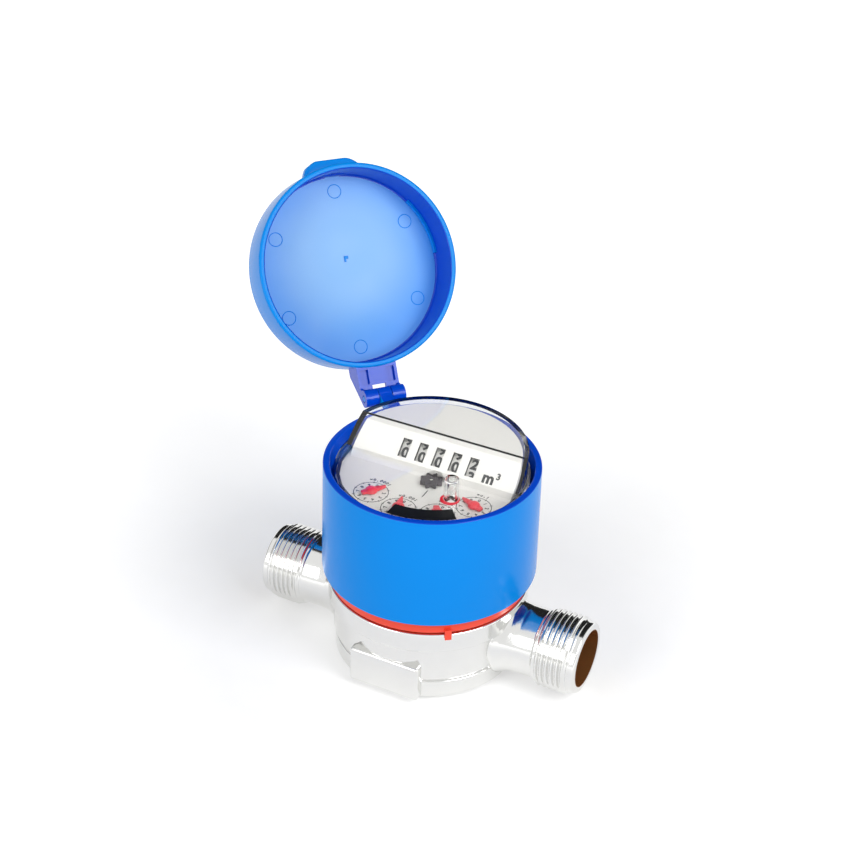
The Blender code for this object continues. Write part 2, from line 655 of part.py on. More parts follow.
def lower_plate():
    """The lower movement plate, with its pillars, the studs that wheels turn on and the bearing holes."""
    plate = place(turned("lower_plate", disc(CUP_INNER - GAP, LOWER_PLATE_TOP, LOWER_PLATE), MEDIUM), IVORY)
    studs = [(REDUCTION, level(2)), (IDLER, level(3))]
    studs += [(STEP_PLACES[i], level(4 + 2 * i)) for i in range(POINTERS - 1)]
    for spot, top_level in studs:
        top = top_level + FACE_WIDTH / 2.0 + 0.2 * MM
        stud = turned("stud_form", disc(STUD_RADIUS, top, LOWER_PLATE_TOP - 0.4 * MM), TINY)
        stud.location = (spot[0], spot[1], 0.0)
        join(plate, stud)
    for spot in PILLARS:
        pillar = turned("pillar_form", disc(PILLAR_RADIUS, UPPER_PLATE - GAP, LOWER_PLATE_TOP - 0.4 * MM), TINY)
        pillar.location = (spot[0], spot[1], 0.0)
        join(plate, pillar)
    for spot in [FOLLOWER, STAR_PLACE, WORM_PLACE] + POINTER_PLACES:
        hole = turned("hole_form", disc(SHAFT_RADIUS + GAP, LOWER_PLATE_TOP + MM, LOWER_PLATE - MM), TINY)
        hole.location = (spot[0], spot[1], 0.0)
        cut(plate, hole)
    return plate


def upper_plate():
    """The upper movement plate, with the two cheeks that carry the counter's shafts."""
    plate = place(turned("upper_plate", disc(CUP_INNER - GAP, UPPER_PLATE_TOP, UPPER_PLATE), MEDIUM), IVORY)
    for low in (LEFT_CHEEK, RIGHT_CHEEK):
        cheek = block("cheek_form", (low, COUNTER.y - 2.4 * MM, UPPER_PLATE_TOP - 0.5 * MM),
                      (low + CHEEK, CARRY.y + 1.2 * MM, COUNTER.z + 2.0 * MM))
        join(plate, cheek)
        for middle, radius in ((COUNTER, COUNTER_SHAFT_RADIUS), (CARRY, CARRY_SHAFT_RADIUS)):
            cut(plate, rod("seat_form", (low - MM, middle.y, middle.z), (low + CHEEK + MM, middle.y, middle.z),
                           radius + GAP / 2.0, TINY))
    for spot in [FOLLOWER, STAR_PLACE, WORM_PLACE] + POINTER_PLACES:
        hole = turned("hole_form", disc(SHAFT_RADIUS + GAP, UPPER_PLATE_TOP + MM, UPPER_PLATE - MM), TINY)
        hole.location = (spot[0], spot[1], 0.0)
        cut(plate, hole)
    return plate


def crown(name, edge, top, offset, bottom, radius):
    """A raised part: a cylinder crossed with a wedge."""
    form = turned(name, disc(radius, top + MM, bottom), FINE)
    side = side_prism(name + "_side", wedge(edge, top, offset, bottom), radius + 5.0 * MM)
    return change(form, side, "INTERSECT")


def dial_plate():
    """The moulded dial: a flat round the pointers, a slope with windows and a shelf behind."""
    plate = place(turned("dial_plate", disc(DIAL_RADIUS, DIAL_LEVEL, DIAL_BOTTOM), FINE), WHITE)
    low = DIAL_BOTTOM + 0.3 * MM
    outer = crown("dial_crown_form", SHELF_EDGE, DIAL_TOP, 0.0, low, DIAL_CROWN_RADIUS)
    pocket = turned("pocket_form", disc(STAR_RADIUS + RUNNING_GAP, DIAL_TOP + MM, DIAL_LEVEL), COARSE)
    pocket.location = (STAR_PLACE[0], STAR_PLACE[1], 0.0)
    cut(outer, pocket)
    join(plate, outer)
    below = DIAL_BOTTOM - MM
    inner = crown("dial_hollow_form", SHELF_EDGE, DIAL_TOP, DIAL_THICKNESS, below, DIAL_CROWN_RADIUS - DIAL_THICKNESS)
    guard = turned("guard_form", disc(STAR_RADIUS + RUNNING_GAP + DIAL_THICKNESS, DIAL_TOP + MM, below - MM), COARSE)
    guard.location = (STAR_PLACE[0], STAR_PLACE[1], 0.0)
    cut(inner, guard)
    cut(plate, inner)
    for x in ROLLER_PLACES:
        window = block("window_form", (x - WINDOW_WIDTH / 2.0, -WINDOW_HEIGHT / 2.0, -2.0 * DIAL_THICKNESS),
                       (x + WINDOW_WIDTH / 2.0, WINDOW_HEIGHT / 2.0, DIAL_THICKNESS))
        window.matrix_world = Matrix.Translation(WINDOW_MIDDLE) @ Matrix.Rotation(RAMP_ANGLE, 4, "X")
        cut(plate, window)
    for spot in [STAR_PLACE] + POINTER_PLACES:
        hole = turned("hole_form", disc(SHAFT_RADIUS + GAP, DIAL_LEVEL + MM, DIAL_BOTTOM - MM), TINY)
        hole.location = (spot[0], spot[1], 0.0)
        cut(plate, hole)
    return plate


COVER_FOOT = DIAL_LEVEL + SEAL_HEIGHT + 2.0 * GAP


def cover_seal():
    low = DIAL_LEVEL + GAP
    section = sleeve(DIAL_RADIUS, DIAL_RADIUS - MM, low + SEAL_HEIGHT, low)
    return place(turned("cover_seal", section, MEDIUM, closed=True), RUBBER)


def clear_cover():
    """The clear window: a shallow cup over the dial with a raised wedge and a small round boss."""
    cover = place(turned("clear_cover", disc(COVER_RADIUS, COVER_LEVEL, COVER_FOOT), FINE), CLEAR)
    low = COVER_LEVEL - 0.4 * MM
    join(cover, crown("cover_crown_form", COVER_SHELF_EDGE, COVER_TOP, 0.0, low, COVER_CROWN_RADIUS))
    boss = turned("boss_form", disc(BOSS_RADIUS, COVER_TOP - 0.8 * MM, low), COARSE)
    boss.location = (BOSS_PLACE[0], BOSS_PLACE[1], 0.0)
    join(cover, boss)
    below = COVER_FOOT - MM
    shallow = turned("cover_hollow_form", disc(COVER_RADIUS - COVER_WALL, COVER_LEVEL - COVER_WALL, below), FINE)
    cut(cover, shallow)
    cut(cover, crown("cover_deep_form", COVER_SHELF_EDGE, COVER_TOP, COVER_WALL, below,
                     COVER_CROWN_RADIUS - COVER_WALL))
    return cover


# The counter
LYING = Matrix.Rotation(math.radians(90.0), 4, "Y")


def roller(index):
    """A figure roller. Its right side has the ring that its carry pinion turns, its left side the carry lug."""
    name = "roller_%d" % (index + 1)
    half = ROLLER_WIDTH / 2.0
    bore = COUNTER_SHAFT_RADIUS + GAP
    spot = Matrix.Translation((ROLLER_PLACES[index], COUNTER.y, COUNTER.z)) @ LYING
    drum = turned(name, disc(ROLLER_RADIUS, half, -half), COARSE)
    drum.matrix_world = spot
    ring_width = 0.5 * MM
    if index == ROLLERS - 1:
        reach = WORM_X - ROLLER_PLACES[index]
        module = 2.0 * WORM_WHEEL_RADIUS / CARRY_WHEEL_TEETH
        forms = [turned("neck_form", disc(2.2 * MM, reach, half - 0.2 * MM), TINY),
                 flat("wheel_form", [tooth_ring(CARRY_WHEEL_TEETH, module, math.pi / 2.0)],
                      reach - WORM_WHEEL_WIDTH / 2.0, reach + WORM_WHEEL_WIDTH / 2.0)]
    else:
        forms = [flat("wheel_form", [tooth_ring(CARRY_WHEEL_TEETH, CARRY_MODULE, math.pi / 2.0, pointed=True)],
                      half - 0.2 * MM, half + ring_width)]
    if index > 0:
        reach = CARRY_MODULE * CARRY_WHEEL_TEETH / 2.0
        forms.append(block("lug_form", (reach - 0.7 * MM, -1.1 * MM, -half - 0.4 * MM),
                           (reach + 0.3 * MM, 1.1 * MM, 0.2 * MM - half)))
    for form in forms:
        form.matrix_world = spot
        join(drum, form)
    hole = turned("hole_form", disc(bore, 4.0 * half, -2.0 * half), TINY)
    hole.matrix_world = spot
    cut(drum, hole)
    return place(drum, WHITE)


def carry_pinion(index):
    """A carry pinion between two rollers, loose on its own shaft."""
    x = (ROLLER_PLACES[index] + ROLLER_PLACES[index + 1]) / 2.0
    phase = mesh_phase((0.0, 0.0), CARRY_WHEEL_TEETH, math.pi / 2.0, (0.0, 1.0), CARRY_PINION_TEETH)
    outline = tooth_ring(CARRY_PINION_TEETH, CARRY_MODULE, phase, pointed=True)
    pinion = flat("carry_pinion_%d" % (index + 1), [outline, circle(CARRY_SHAFT_RADIUS + GAP, facets=TINY)],
                  -CARRY_WIDTH / 2.0, CARRY_WIDTH / 2.0)
    pinion.matrix_world = Matrix.Translation((x, CARRY.y, CARRY.z)) @ LYING
    return place(pinion, IVORY)


def counter_shaft(name, middle, radius):
    low = LEFT_CHEEK + 0.2 * MM
    high = RIGHT_CHEEK + CHEEK - 0.2 * MM
    shaft = rod(name, (low, 0.0, 0.0), (high, 0.0, 0.0), radius, TINY)
    shaft.location = (0.0, middle.y, middle.z)
    return place(shaft, STEEL)


# The wheels between the magnet and the counter
def span(number, reach=0.0):
    """The lower and upper faces of the wheel on one layer."""
    return level(number) - FACE_WIDTH / 2.0 - reach, level(number) + FACE_WIDTH / 2.0


def follower():
    """The driven magnet on the cup's floor and the shaft and pinion that it turns."""
    low = CUP_FLOOR + GAP
    magnet = turned("follower_magnet", sleeve(MAGNET_RADIUS, SHAFT_RADIUS + GAP, low + 2.6 * MM, low), COARSE, closed=True)
    place(magnet, MAGNET)
    teeth = (FOLLOWER_TEETH, STAR_MODULE, 0.0, *span(1))
    return arbor("follower_shaft", FOLLOWER, [teeth], shaft=(SHAFT_RADIUS, low + 0.2 * MM, UPPER_PLATE_TOP - 0.2 * MM),
                 material=STEEL)


def star_arbor():
    phase = mesh_phase(FOLLOWER, FOLLOWER_TEETH, 0.0, STAR_PLACE, STAR_TEETH)
    wheels = [(STAR_TEETH, STAR_MODULE, phase, *span(1)),
              (PINION_TEETH, TRAIN_MODULE, 0.0, span(2)[0], span(1)[0] + 0.2 * MM)]
    return arbor("star_arbor", STAR_PLACE, wheels,
                 shaft=(SHAFT_RADIUS, LOWER_PLATE + 0.2 * MM, DIAL_LEVEL + 1.3 * MM))


def star_wheel():
    """The dark star that shows the smallest flow."""
    outline = []
    per_lobe = 6
    for step in range(STAR_LOBES * per_lobe):
        angle = math.tau * step / (STAR_LOBES * per_lobe)
        radius = STAR_RADIUS * (0.84 + 0.16 * math.cos(STAR_LOBES * angle))
        outline.append(polar(radius, angle))
    low = DIAL_LEVEL + GAP
    star = flat("star_wheel", [outline, circle(SHAFT_RADIUS + GAP / 2.0, facets=TINY)], low, low + STAR_THICKNESS)
    star.location = (STAR_PLACE[0], STAR_PLACE[1], 0.0)
    return place(star, GREY)


REDUCTION_PHASE = mesh_phase(STAR_PLACE, PINION_TEETH, 0.0, REDUCTION, WHEEL_TEETH)
IDLER_PHASE = mesh_phase(REDUCTION, PINION_TEETH, 0.0, IDLER, IDLER_TEETH)


def reduction_wheel():
    wheels = [(WHEEL_TEETH, TRAIN_MODULE, REDUCTION_PHASE, *span(2)),
              (PINION_TEETH, TRAIN_MODULE, 0.0, span(3)[0], span(2)[0] + 0.2 * MM)]
    return arbor("reduction_wheel", REDUCTION, wheels, bore=STUD_RADIUS + GAP / 2.0)


def idler_wheel():
    return arbor("idler_wheel", IDLER, [(IDLER_TEETH, TRAIN_MODULE, IDLER_PHASE, *span(3))], bore=STUD_RADIUS + GAP / 2.0)


def pointer_arbor(index):
    """A pointer's shaft: its wheel on one layer and, one layer down, the pinion that drives the next."""
    wheel_level = 3 + 2 * index
    spot = POINTER_PLACES[index]
    if index == 0:
        phase = mesh_phase(IDLER, IDLER_TEETH, IDLER_PHASE, spot, WHEEL_TEETH)
    else:
        phase = mesh_phase(STEP_PLACES[index - 1], PINION_TEETH, 0.0, spot, WHEEL_TEETH)
    last = index == POINTERS - 1
    next_teeth = WHEEL_TEETH if last else PINION_TEETH
    low, high = span(wheel_level + 1)
    if not last:
        high = span(wheel_level)[0] + 0.2 * MM
    wheels = [(WHEEL_TEETH, TRAIN_MODULE, phase, *span(wheel_level)), (next_teeth, TRAIN_MODULE, 0.0, low, high)]
    return arbor("pointer_arbor_%d" % (index + 1), spot, wheels,
                 shaft=(SHAFT_RADIUS, LOWER_PLATE + 0.2 * MM, DIAL_LEVEL + NEEDLE_THICKNESS))


def step_wheel(index):
    """The wheel and pinion between two pointers, which turn on a stud of the lower plate."""
    wheel_level = 4 + 2 * index
    spot = STEP_PLACES[index]
    phase = mesh_phase(POINTER_PLACES[index], PINION_TEETH, 0.0, spot, STEP_TEETH)
    wheels = [(STEP_TEETH, TRAIN_MODULE, phase, *span(wheel_level)),
              (PINION_TEETH, TRAIN_MODULE, 0.0, span(wheel_level + 1)[0], span(wheel_level)[0] + 0.2 * MM)]
    return arbor("step_wheel_%d" % (index + 1), spot, wheels, bore=STUD_RADIUS + GAP / 2.0)


def needle(index):
    """A red pointer: a round hub with a long tip and a short tail."""
    turn = math.radians(NEEDLE_TURNS[index])
    half = math.radians(28.0)
    arc = 9
    outline = [(-NEEDLE_TAIL, -0.55 * MM)]
    lower = [math.pi + half + (math.pi - 2.0 * half) * i / (arc - 1) for i in range(arc)]
    outline += [polar(NEEDLE_HUB, a) for a in lower]
    outline += [(NEEDLE_REACH, -0.15 * MM), (NEEDLE_REACH, 0.15 * MM)]
    outline += [(x, -y) for x, y in [polar(NEEDLE_HUB, a) for a in reversed(lower)]]
    outline += [(-NEEDLE_TAIL, 0.55 * MM)]
    low = DIAL_LEVEL + GAP
    hand = flat("pointer_%d" % (index + 1), [outline, circle(SHAFT_RADIUS + GAP / 2.0, facets=TINY)],
                low, low + NEEDLE_THICKNESS)
    hand.data.transform(Matrix.Rotation(turn, 4, "Z"))
    hand.location = (*POINTER_PLACES[index], 0.0)
    return place(hand, RED)


def worm_arbor():
    """The upright shaft with the worm that turns the last roller once for ten turns of the last pointer."""
    phase = mesh_phase(LAST_POINTER, WHEEL_TEETH, 0.0, WORM_PLACE, WORM_DRIVE_TEETH)
    low = UPPER_PLATE_TOP + RUNNING_GAP
    high = DIAL_BOTTOM - RUNNING_GAP
    gear = arbor("worm_arbor", WORM_PLACE, [(WORM_DRIVE_TEETH, TRAIN_MODULE, phase, *span(10))],
                 shaft=(SHAFT_RADIUS, LOWER_PLATE + 0.2 * MM, low + MM))
    tooth = 2.0 * WORM_WHEEL_RADIUS / CARRY_WHEEL_TEETH
    core_radius = WORM_RADIUS - 1.1 * tooth
    crest_radius = WORM_RADIUS + 0.6 * tooth
    core = turned("core_form", disc(core_radius, high, low), TINY)
    core.location = (WORM_PLACE[0], WORM_PLACE[1], 0.0)
    join(gear, core)
    ridge = bmesh.new()
    turns = 2.25
    steps = int(turns * 8)
    start = COUNTER.z - WORM_PITCH / 2.0 - WORM_PITCH * turns
    sections = []
    for step in range(steps + 1):
        turned_by = turns * step / steps
        angle = math.pi / 2.0 + math.tau * (turned_by - turns)
        height = start + WORM_PITCH * turned_by
        ring = []
        for radius, lift in ((core_radius - 0.2 * MM, -0.42 * MM), (crest_radius, -0.22 * MM),
                             (crest_radius, 0.22 * MM), (core_radius - 0.2 * MM, 0.42 * MM)):
            x, y = polar(radius, angle)
            ring.append(ridge.verts.new((x, y, height + lift)))
        sections.append(ring)
    for before, after in zip(sections, sections[1:]):
        for side in range(4):
            other = (side + 1) % 4
            ridge.faces.new((before[side], before[other], after[other], after[side]))
    ridge.faces.new(sections[0])
    ridge.faces.new(list(reversed(sections[-1])))
    bmesh.ops.recalc_face_normals(ridge, faces=ridge.faces)
    mesh = bpy.data.meshes.new("ridge_form")
    ridge.to_mesh(mesh)
    ridge.free()
    thread = bpy.data.objects.new("ridge_form", mesh)
    thread.location = (WORM_PLACE[0], WORM_PLACE[1], 0.0)
    join(gear, thread)
    return gear


# The blue cap, its hinge and its lid. They are drawn with the hinge at +Y and then turned to its place
CAP_BOTTOM = LOCK_TOP + GAP
LID_BOTTOM = CAP_TOP + 0.4 * MM
LID_TOP = LID_BOTTOM + LID_DEPTH
HINGE_TURN = Matrix.Rotation(HINGE_AZIMUTH - math.pi / 2.0, 4, "Z")
HINGE_LINE = Vector((0.0, HINGE_RADIUS, HINGE_HEIGHT))
ARM_START = KNUCKLE_WIDTH / 2.0 + GAP
ARM_END = ARM_START + ARM_WIDTH


def cap_shroud():
    """The blue sleeve round the register, with a ledge that stands on the lock ring and the middle knuckle."""
    ledge = CUP_RADIUS + GAP
    section = [(CAP_RADIUS, CAP_TOP), (CAP_FOOT_RADIUS, CAP_BOTTOM), (ledge, CAP_BOTTOM),
               (ledge, CAP_BOTTOM + LEDGE_HEIGHT), (CAP_FOOT_RADIUS - CAP_WALL, CAP_BOTTOM + LEDGE_HEIGHT),
               (CAP_RADIUS - CAP_WALL, CAP_TOP)]
    cap = place(turned("cap_shroud", section, FINE, closed=True), BLUE)
    root = CAP_RADIUS - MM
    arm_side = [(root, HINGE_HEIGHT - 9.0 * MM), (root, CAP_TOP - 0.4 * MM), (HINGE_RADIUS - 3.5 * MM, CAP_TOP + 0.2 * MM),
                (HINGE_RADIUS, HINGE_HEIGHT + KNUCKLE_RADIUS - 0.1 * MM),
                (HINGE_RADIUS, HINGE_HEIGHT - KNUCKLE_RADIUS + 0.1 * MM),
                (HINGE_RADIUS - 3.0 * MM, HINGE_HEIGHT - KNUCKLE_RADIUS)]
    half = KNUCKLE_WIDTH / 2.0
    forms = [side_prism("arm_form", arm_side, half), rod("knuckle_form", (-half, HINGE_LINE.y, HINGE_LINE.z),
                                                         (half, HINGE_LINE.y, HINGE_LINE.z), KNUCKLE_RADIUS)]
    hole = rod("hole_form", (-2.0 * half, HINGE_LINE.y, HINGE_LINE.z), (2.0 * half, HINGE_LINE.y, HINGE_LINE.z),
               HINGE_PIN_RADIUS + GAP / 2.0, TINY)
    for form in forms:
        form.matrix_world = HINGE_TURN
        join(cap, form)
    hole.matrix_world = HINGE_TURN
    return cut(cap, hole)


def hinge_pin():
    pin = rod("hinge_pin", (-ARM_END, 0.0, 0.0), (ARM_END, 0.0, 0.0), HINGE_PIN_RADIUS, TINY)
    pin.matrix_world = HINGE_TURN @ Matrix.Translation(HINGE_LINE)
    return place(pin, BLUE)


def lid():
    """The lid: a shallow round tray with a thumb tab, and a slotted plate that carries its two knuckles."""
    inner = LID_RADIUS - LID_WALL
    section = [(0.0, LID_TOP), (LID_RADIUS - 0.9 * MM, LID_TOP), (LID_RADIUS, LID_TOP - 0.9 * MM),
               (LID_RADIUS, LID_BOTTOM), (inner, LID_BOTTOM), (inner, LID_TOP - LID_WALL), (0.0, LID_TOP - LID_WALL)]
    tray = turned("lid", section, FINE)
    wall = LID_RADIUS - MM
    web_side = [(wall, LID_BOTTOM + 0.8 * MM), (wall, LID_BOTTOM + 10.0 * MM), (LID_RADIUS + 2.2 * MM, LID_BOTTOM + 10.0 * MM),
                (HINGE_RADIUS + 2.4 * MM, HINGE_HEIGHT + 1.8 * MM), (HINGE_RADIUS, HINGE_HEIGHT),
                (HINGE_RADIUS - 2.8 * MM, HINGE_HEIGHT + 1.0 * MM), (HINGE_RADIUS - 3.6 * MM, LID_BOTTOM + 0.8 * MM)]
    plate_low = LID_BOTTOM + 0.8 * MM
    forms = []
    for side in (-1.0, 1.0):
        web = side_prism("web_form", web_side, 0.5 * MM)
        web.data.transform(Matrix.Translation((side * (ARM_END - 0.5 * MM), 0.0, 0.0)))
        near, far = sorted((side * ARM_START, side * ARM_END))
        plate = block("plate_form", (near, wall, plate_low), (far, HINGE_RADIUS - 1.6 * MM, plate_low + HINGE_PLATE))
        knuckle = rod("knuckle_form", (near, HINGE_LINE.y, HINGE_LINE.z), (far, HINGE_LINE.y, HINGE_LINE.z),
                      KNUCKLE_RADIUS)
        forms += [web, plate, knuckle]
    bridge = block("bridge_form", (-ARM_START - 0.5 * MM, wall, plate_low),
                   (ARM_START + 0.5 * MM, HINGE_RADIUS - 4.2 * MM, plate_low + HINGE_PLATE))
    tab = block("tab_form", (-TAB_WIDTH / 2.0, -LID_RADIUS - TAB_REACH, LID_TOP - TAB_HEIGHT),
                (TAB_WIDTH / 2.0, -LID_RADIUS + 2.5 * MM, LID_TOP - 0.9 * MM))
    bevel = tab.modifiers.new("round", "BEVEL")
    bevel.width = 0.8 * MM
    bevel.segments = 2
    for form in forms + [bridge, tab]:
        join(tray, form)
    for side in (-1.0, 1.0):
        near, far = sorted((side * (ARM_START + 0.7 * MM), side * (ARM_END - 1.0 * MM)))
        slot = block("slot_form", (near, LID_RADIUS + 0.5 * MM, plate_low - MM),
                     (far, HINGE_RADIUS - 4.6 * MM, plate_low + HINGE_PLATE + MM))
        cut(tray, slot)
    cut(tray, rod("hole_form", (-2.0 * ARM_END, HINGE_LINE.y, HINGE_LINE.z), (2.0 * ARM_END, HINGE_LINE.y, HINGE_LINE.z),
                  HINGE_PIN_RADIUS + GAP, TINY))
    place(tray, BLUE)
    bpy.context.view_layer.update()
    settled = bpy.data.meshes.new_from_object(tray.evaluated_get(bpy.context.evaluated_depsgraph_get()))
    settled.transform(Matrix.Translation(-HINGE_LINE))
    tray.modifiers.clear()
    tray.data = settled
    tray.matrix_world = HINGE_TURN @ Matrix.Translation(HINGE_LINE) @ Matrix.Rotation(-LID_OPEN, 4, "X")
    return tray


meter_body()
inlet_strainer()
lower_pivot()
separator_plate()
plate_o_ring()
clamp_ring()
red_lock_ring()
impeller()
impeller_magnet()
impeller_shaft()
register_cup()
lower_plate()
upper_plate()
dial_plate()
cover_seal()
clear_cover()
for number in range(ROLLERS):
    roller(number)
for number in range(ROLLERS - 1):
    carry_pinion(number)
counter_shaft("roller_shaft", COUNTER, COUNTER_SHAFT_RADIUS)
counter_shaft("carry_shaft", CARRY, CARRY_SHAFT_RADIUS)
follower()
star_arbor()
star_wheel()
reduction_wheel()
idler_wheel()
for number in range(POINTERS):
    pointer_arbor(number)
    needle(number)
for number in range(POINTERS - 1):
    step_wheel(number)
worm_arbor()
cap_shroud()
hinge_pin()
lid()
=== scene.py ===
# %% [markdown]
# # A water meter with its lid open
#
# This is a small dry-dial meter for cold water: a plated brass casting with two threaded stubs, a red lock
# ring, a blue cap with a hinged lid, and a counter and four pointers under a clear cover. The mechanical
# model was made first, as plain solids that turn on their joints. This lesson dresses it: finer shapes go
# over the main solids, every surface gets a finish made from nodes, and soft studio light shows them.

# %% Load the mechanical model
import json
import math

import bmesh
import bpy
from mathutils import Matrix, Quaternion, Vector


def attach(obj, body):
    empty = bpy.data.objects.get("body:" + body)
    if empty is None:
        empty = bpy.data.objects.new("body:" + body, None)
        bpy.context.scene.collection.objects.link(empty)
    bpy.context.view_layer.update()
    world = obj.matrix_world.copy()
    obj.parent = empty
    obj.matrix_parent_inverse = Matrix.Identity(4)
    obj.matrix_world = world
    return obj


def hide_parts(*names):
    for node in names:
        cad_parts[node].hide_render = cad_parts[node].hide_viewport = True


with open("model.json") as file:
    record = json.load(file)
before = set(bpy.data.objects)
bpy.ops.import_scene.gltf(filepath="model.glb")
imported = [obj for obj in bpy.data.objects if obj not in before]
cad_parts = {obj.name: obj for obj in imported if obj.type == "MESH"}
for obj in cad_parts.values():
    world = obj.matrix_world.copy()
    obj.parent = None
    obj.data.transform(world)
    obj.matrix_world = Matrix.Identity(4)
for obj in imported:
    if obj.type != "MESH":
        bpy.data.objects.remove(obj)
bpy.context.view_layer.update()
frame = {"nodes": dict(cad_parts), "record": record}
print("solids in the frame:", len(frame["nodes"]))

# %% [markdown]
# ## The helpers
#
# Colours are read off a screen as sRGB hex values, but shader nodes want linear light, so one function turns
# them. A second one adds a node of any kind, sets it and wires it, which keeps each finish below down to the
# few lines that say what the material is. Shapes are drawn in millimetres, the unit on a workshop drawing,
# and brought to metres once they are finished.

# %% Colours and nodes
def linear(shade):
    """The linear colour of an sRGB hex value."""
    parts = [int(shade[i:i + 2], 16) / 255.0 for i in (1, 3, 5)]
    return [p / 12.92 if p <= 0.04045 else ((p + 0.055) / 1.055) ** 2.4 for p in parts] + [1.0]


def add(tree, kind, wires=None, **settings):
    """A new node with its settings made and its inputs wired or set."""
    node = tree.nodes.new(kind)
    for name, value in settings.items():
        setattr(node, name, value)
    for socket, value in (wires or {}).items():
        if isinstance(value, bpy.types.NodeSocket):
            tree.links.new(value, node.inputs[socket])
        else:
            node.inputs[socket].default_value = value
    return node


def new_finish(name):
    """An empty material with its output, and the place on the piece that its patterns start from."""
    finish = bpy.data.materials.new(name)
    finish.use_nodes = True
    tree = finish.node_tree
    tree.nodes.clear()
    return finish, tree, add(tree, "ShaderNodeTexCoord").outputs["Object"]


# %% [markdown]
# ## Shapes in millimetres
#
# Almost every part of a meter is turned or moulded round an axis, so one helper turns a profile. Real edges
# are never knife sharp: soften() rounds each corner of a profile, and the highlight that runs along such an
# edge is what makes a render read as a real thing. Booleans join and cut the turned forms, as a mould maker
# would.

# %% Turned forms, prisms and booleans
def linked(name, bm):
    """A mesh object made from bmesh data."""
    mesh = bpy.data.meshes.new(name)
    bm.to_mesh(mesh)
    bm.free()
    thing = bpy.data.objects.new(name, mesh)
    bpy.context.scene.collection.objects.link(thing)
    return thing


def soften(profile, amount, closed=False):
    """The profile with each corner off the axis drawn as a short curve."""
    result = []
    count = len(profile)
    for i, corner in enumerate(profile):
        inner = closed or 0 < i < count - 1
        if not inner or corner[0] < 1e-6:
            result.append(corner)
            continue
        middle = Vector(corner)
        ends = []
        for other in (profile[i - 1], profile[(i + 1) % count]):
            side = Vector(other) - middle
            ends.append(middle + side.normalized() * min(amount, side.length * 0.45))
        for t in (0.0, 0.25, 0.5, 0.75, 1.0):
            spot = ends[0] * (1 - t) ** 2 + middle * 2 * t * (1 - t) + ends[1] * t ** 2
            result.append(tuple(spot))
    return result


def turned(name, profile, facets=160, closed=False):
    """A form turned about Z from (radius, height) points."""
    bm = bmesh.new()
    points = [bm.verts.new((radius, 0.0, height)) for radius, height in profile]
    pairs = list(zip(points, points[1:])) + ([(points[-1], points[0])] if closed else [])
    edges = [bm.edges.new(pair) for pair in pairs]
    bmesh.ops.spin(bm, geom=points + edges, cent=(0, 0, 0), axis=(0, 0, 1), angle=math.tau, steps=facets)
    bmesh.ops.remove_doubles(bm, verts=bm.verts, dist=0.0005)
    bmesh.ops.recalc_face_normals(bm, faces=bm.faces)
    return linked(name, bm)


def disc(radius, top, bottom):
    """The profile of a plain round disc."""
    return [(0.0, top), (radius, top), (radius, bottom), (0.0, bottom)]


def prism(name, outline, low, high, along="X"):
    """An outline pushed through from low to high: (y, z) points along X, or (x, y) points along Z."""
    bm = bmesh.new()
    points = [(low, a, b) if along == "X" else (a, b, low) for a, b in outline]
    face = bm.faces.new([bm.verts.new(p) for p in points])
    pushed = bmesh.ops.extrude_face_region(bm, geom=[face])["geom"]
    way = Vector((1, 0, 0)) if along == "X" else Vector((0, 0, 1))
    far_side = [v for v in pushed if isinstance(v, bmesh.types.BMVert)]
    bmesh.ops.translate(bm, vec=way * (high - low), verts=far_side)
    bmesh.ops.recalc_face_normals(bm, faces=bm.faces)
    return linked(name, bm)


def block(name, low, high):
    """A box between two corners."""
    outline = [(low[1], low[2]), (high[1], low[2]), (high[1], high[2]), (low[1], high[2])]
    return prism(name, outline, low[0], high[0])


def moved(thing, matrix):
    """The thing with its mesh moved or turned."""
    thing.data.transform(matrix)
    return thing


def settle(thing):
    """What the modifiers make of a thing, as its plain mesh."""
    shape = bpy.data.meshes.new_from_object(thing.evaluated_get(bpy.context.evaluated_depsgraph_get()))
    thing.modifiers.clear()
    thing.data = shape
    return thing


def bevelled(thing, width):
    """The thing with its sharp edges rounded."""
    step = thing.modifiers.new("bevel", "BEVEL")
    step.width = width
    step.segments = 3
    step.limit_method = "ANGLE"
    return settle(thing)


def combine(base, how, *others):
    """The base joined with, cut by or crossed with the other forms, which are used up."""
    for other in others:
        step = base.modifiers.new("step", "BOOLEAN")
        step.operation = how
        step.solver = "EXACT"
        step.object = other
        settle(base)
        bpy.data.objects.remove(other)
    return base


def piece(thing, finish, body, slot, *stands_for, solid=True, crease=34.0):
    """Brings a finished form to metres, smooths it between its edges, sets it on its body and hides what it
    stands for.
    """
    bm = bmesh.new()
    bm.from_mesh(thing.data)
    bmesh.ops.remove_doubles(bm, verts=bm.verts, dist=0.0002)
    if solid:
        bmesh.ops.recalc_face_normals(bm, faces=bm.faces)
    bm.to_mesh(thing.data)
    bm.free()
    thing.data.transform(Matrix.Scale(0.001, 4))
    for polygon in thing.data.polygons:
        polygon.use_smooth = True
    thing.data.set_sharp_from_angle(angle=math.radians(crease))
    if finish not in list(thing.data.materials):
        thing.data.materials.clear()
        thing.data.materials.append(finish)
    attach(thing, body)
    if stands_for:
        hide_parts(*stands_for)
    print(thing.name, "rides on", body, "with", len(thing.data.polygons), "faces")
    return thing


# %% [markdown]
# ## Plated brass
#
# The casting is brass, ground and bright nickel plated. Nickel is a metal, so it keeps the default IOR and
# takes its colour from reflections. The plating follows the ground surface below it, which shows as a faint
# waviness a millimetre or two across and as slightly duller patches. The plating bath hardly reaches the
# bores, so inside 9.75 mm from the pipe's axis the raw brass shows, dulled a little by its oxide.

# %% The plated and the turned metals
PIPE_HEIGHT = 14.0
BORE_EDGE = 9.75


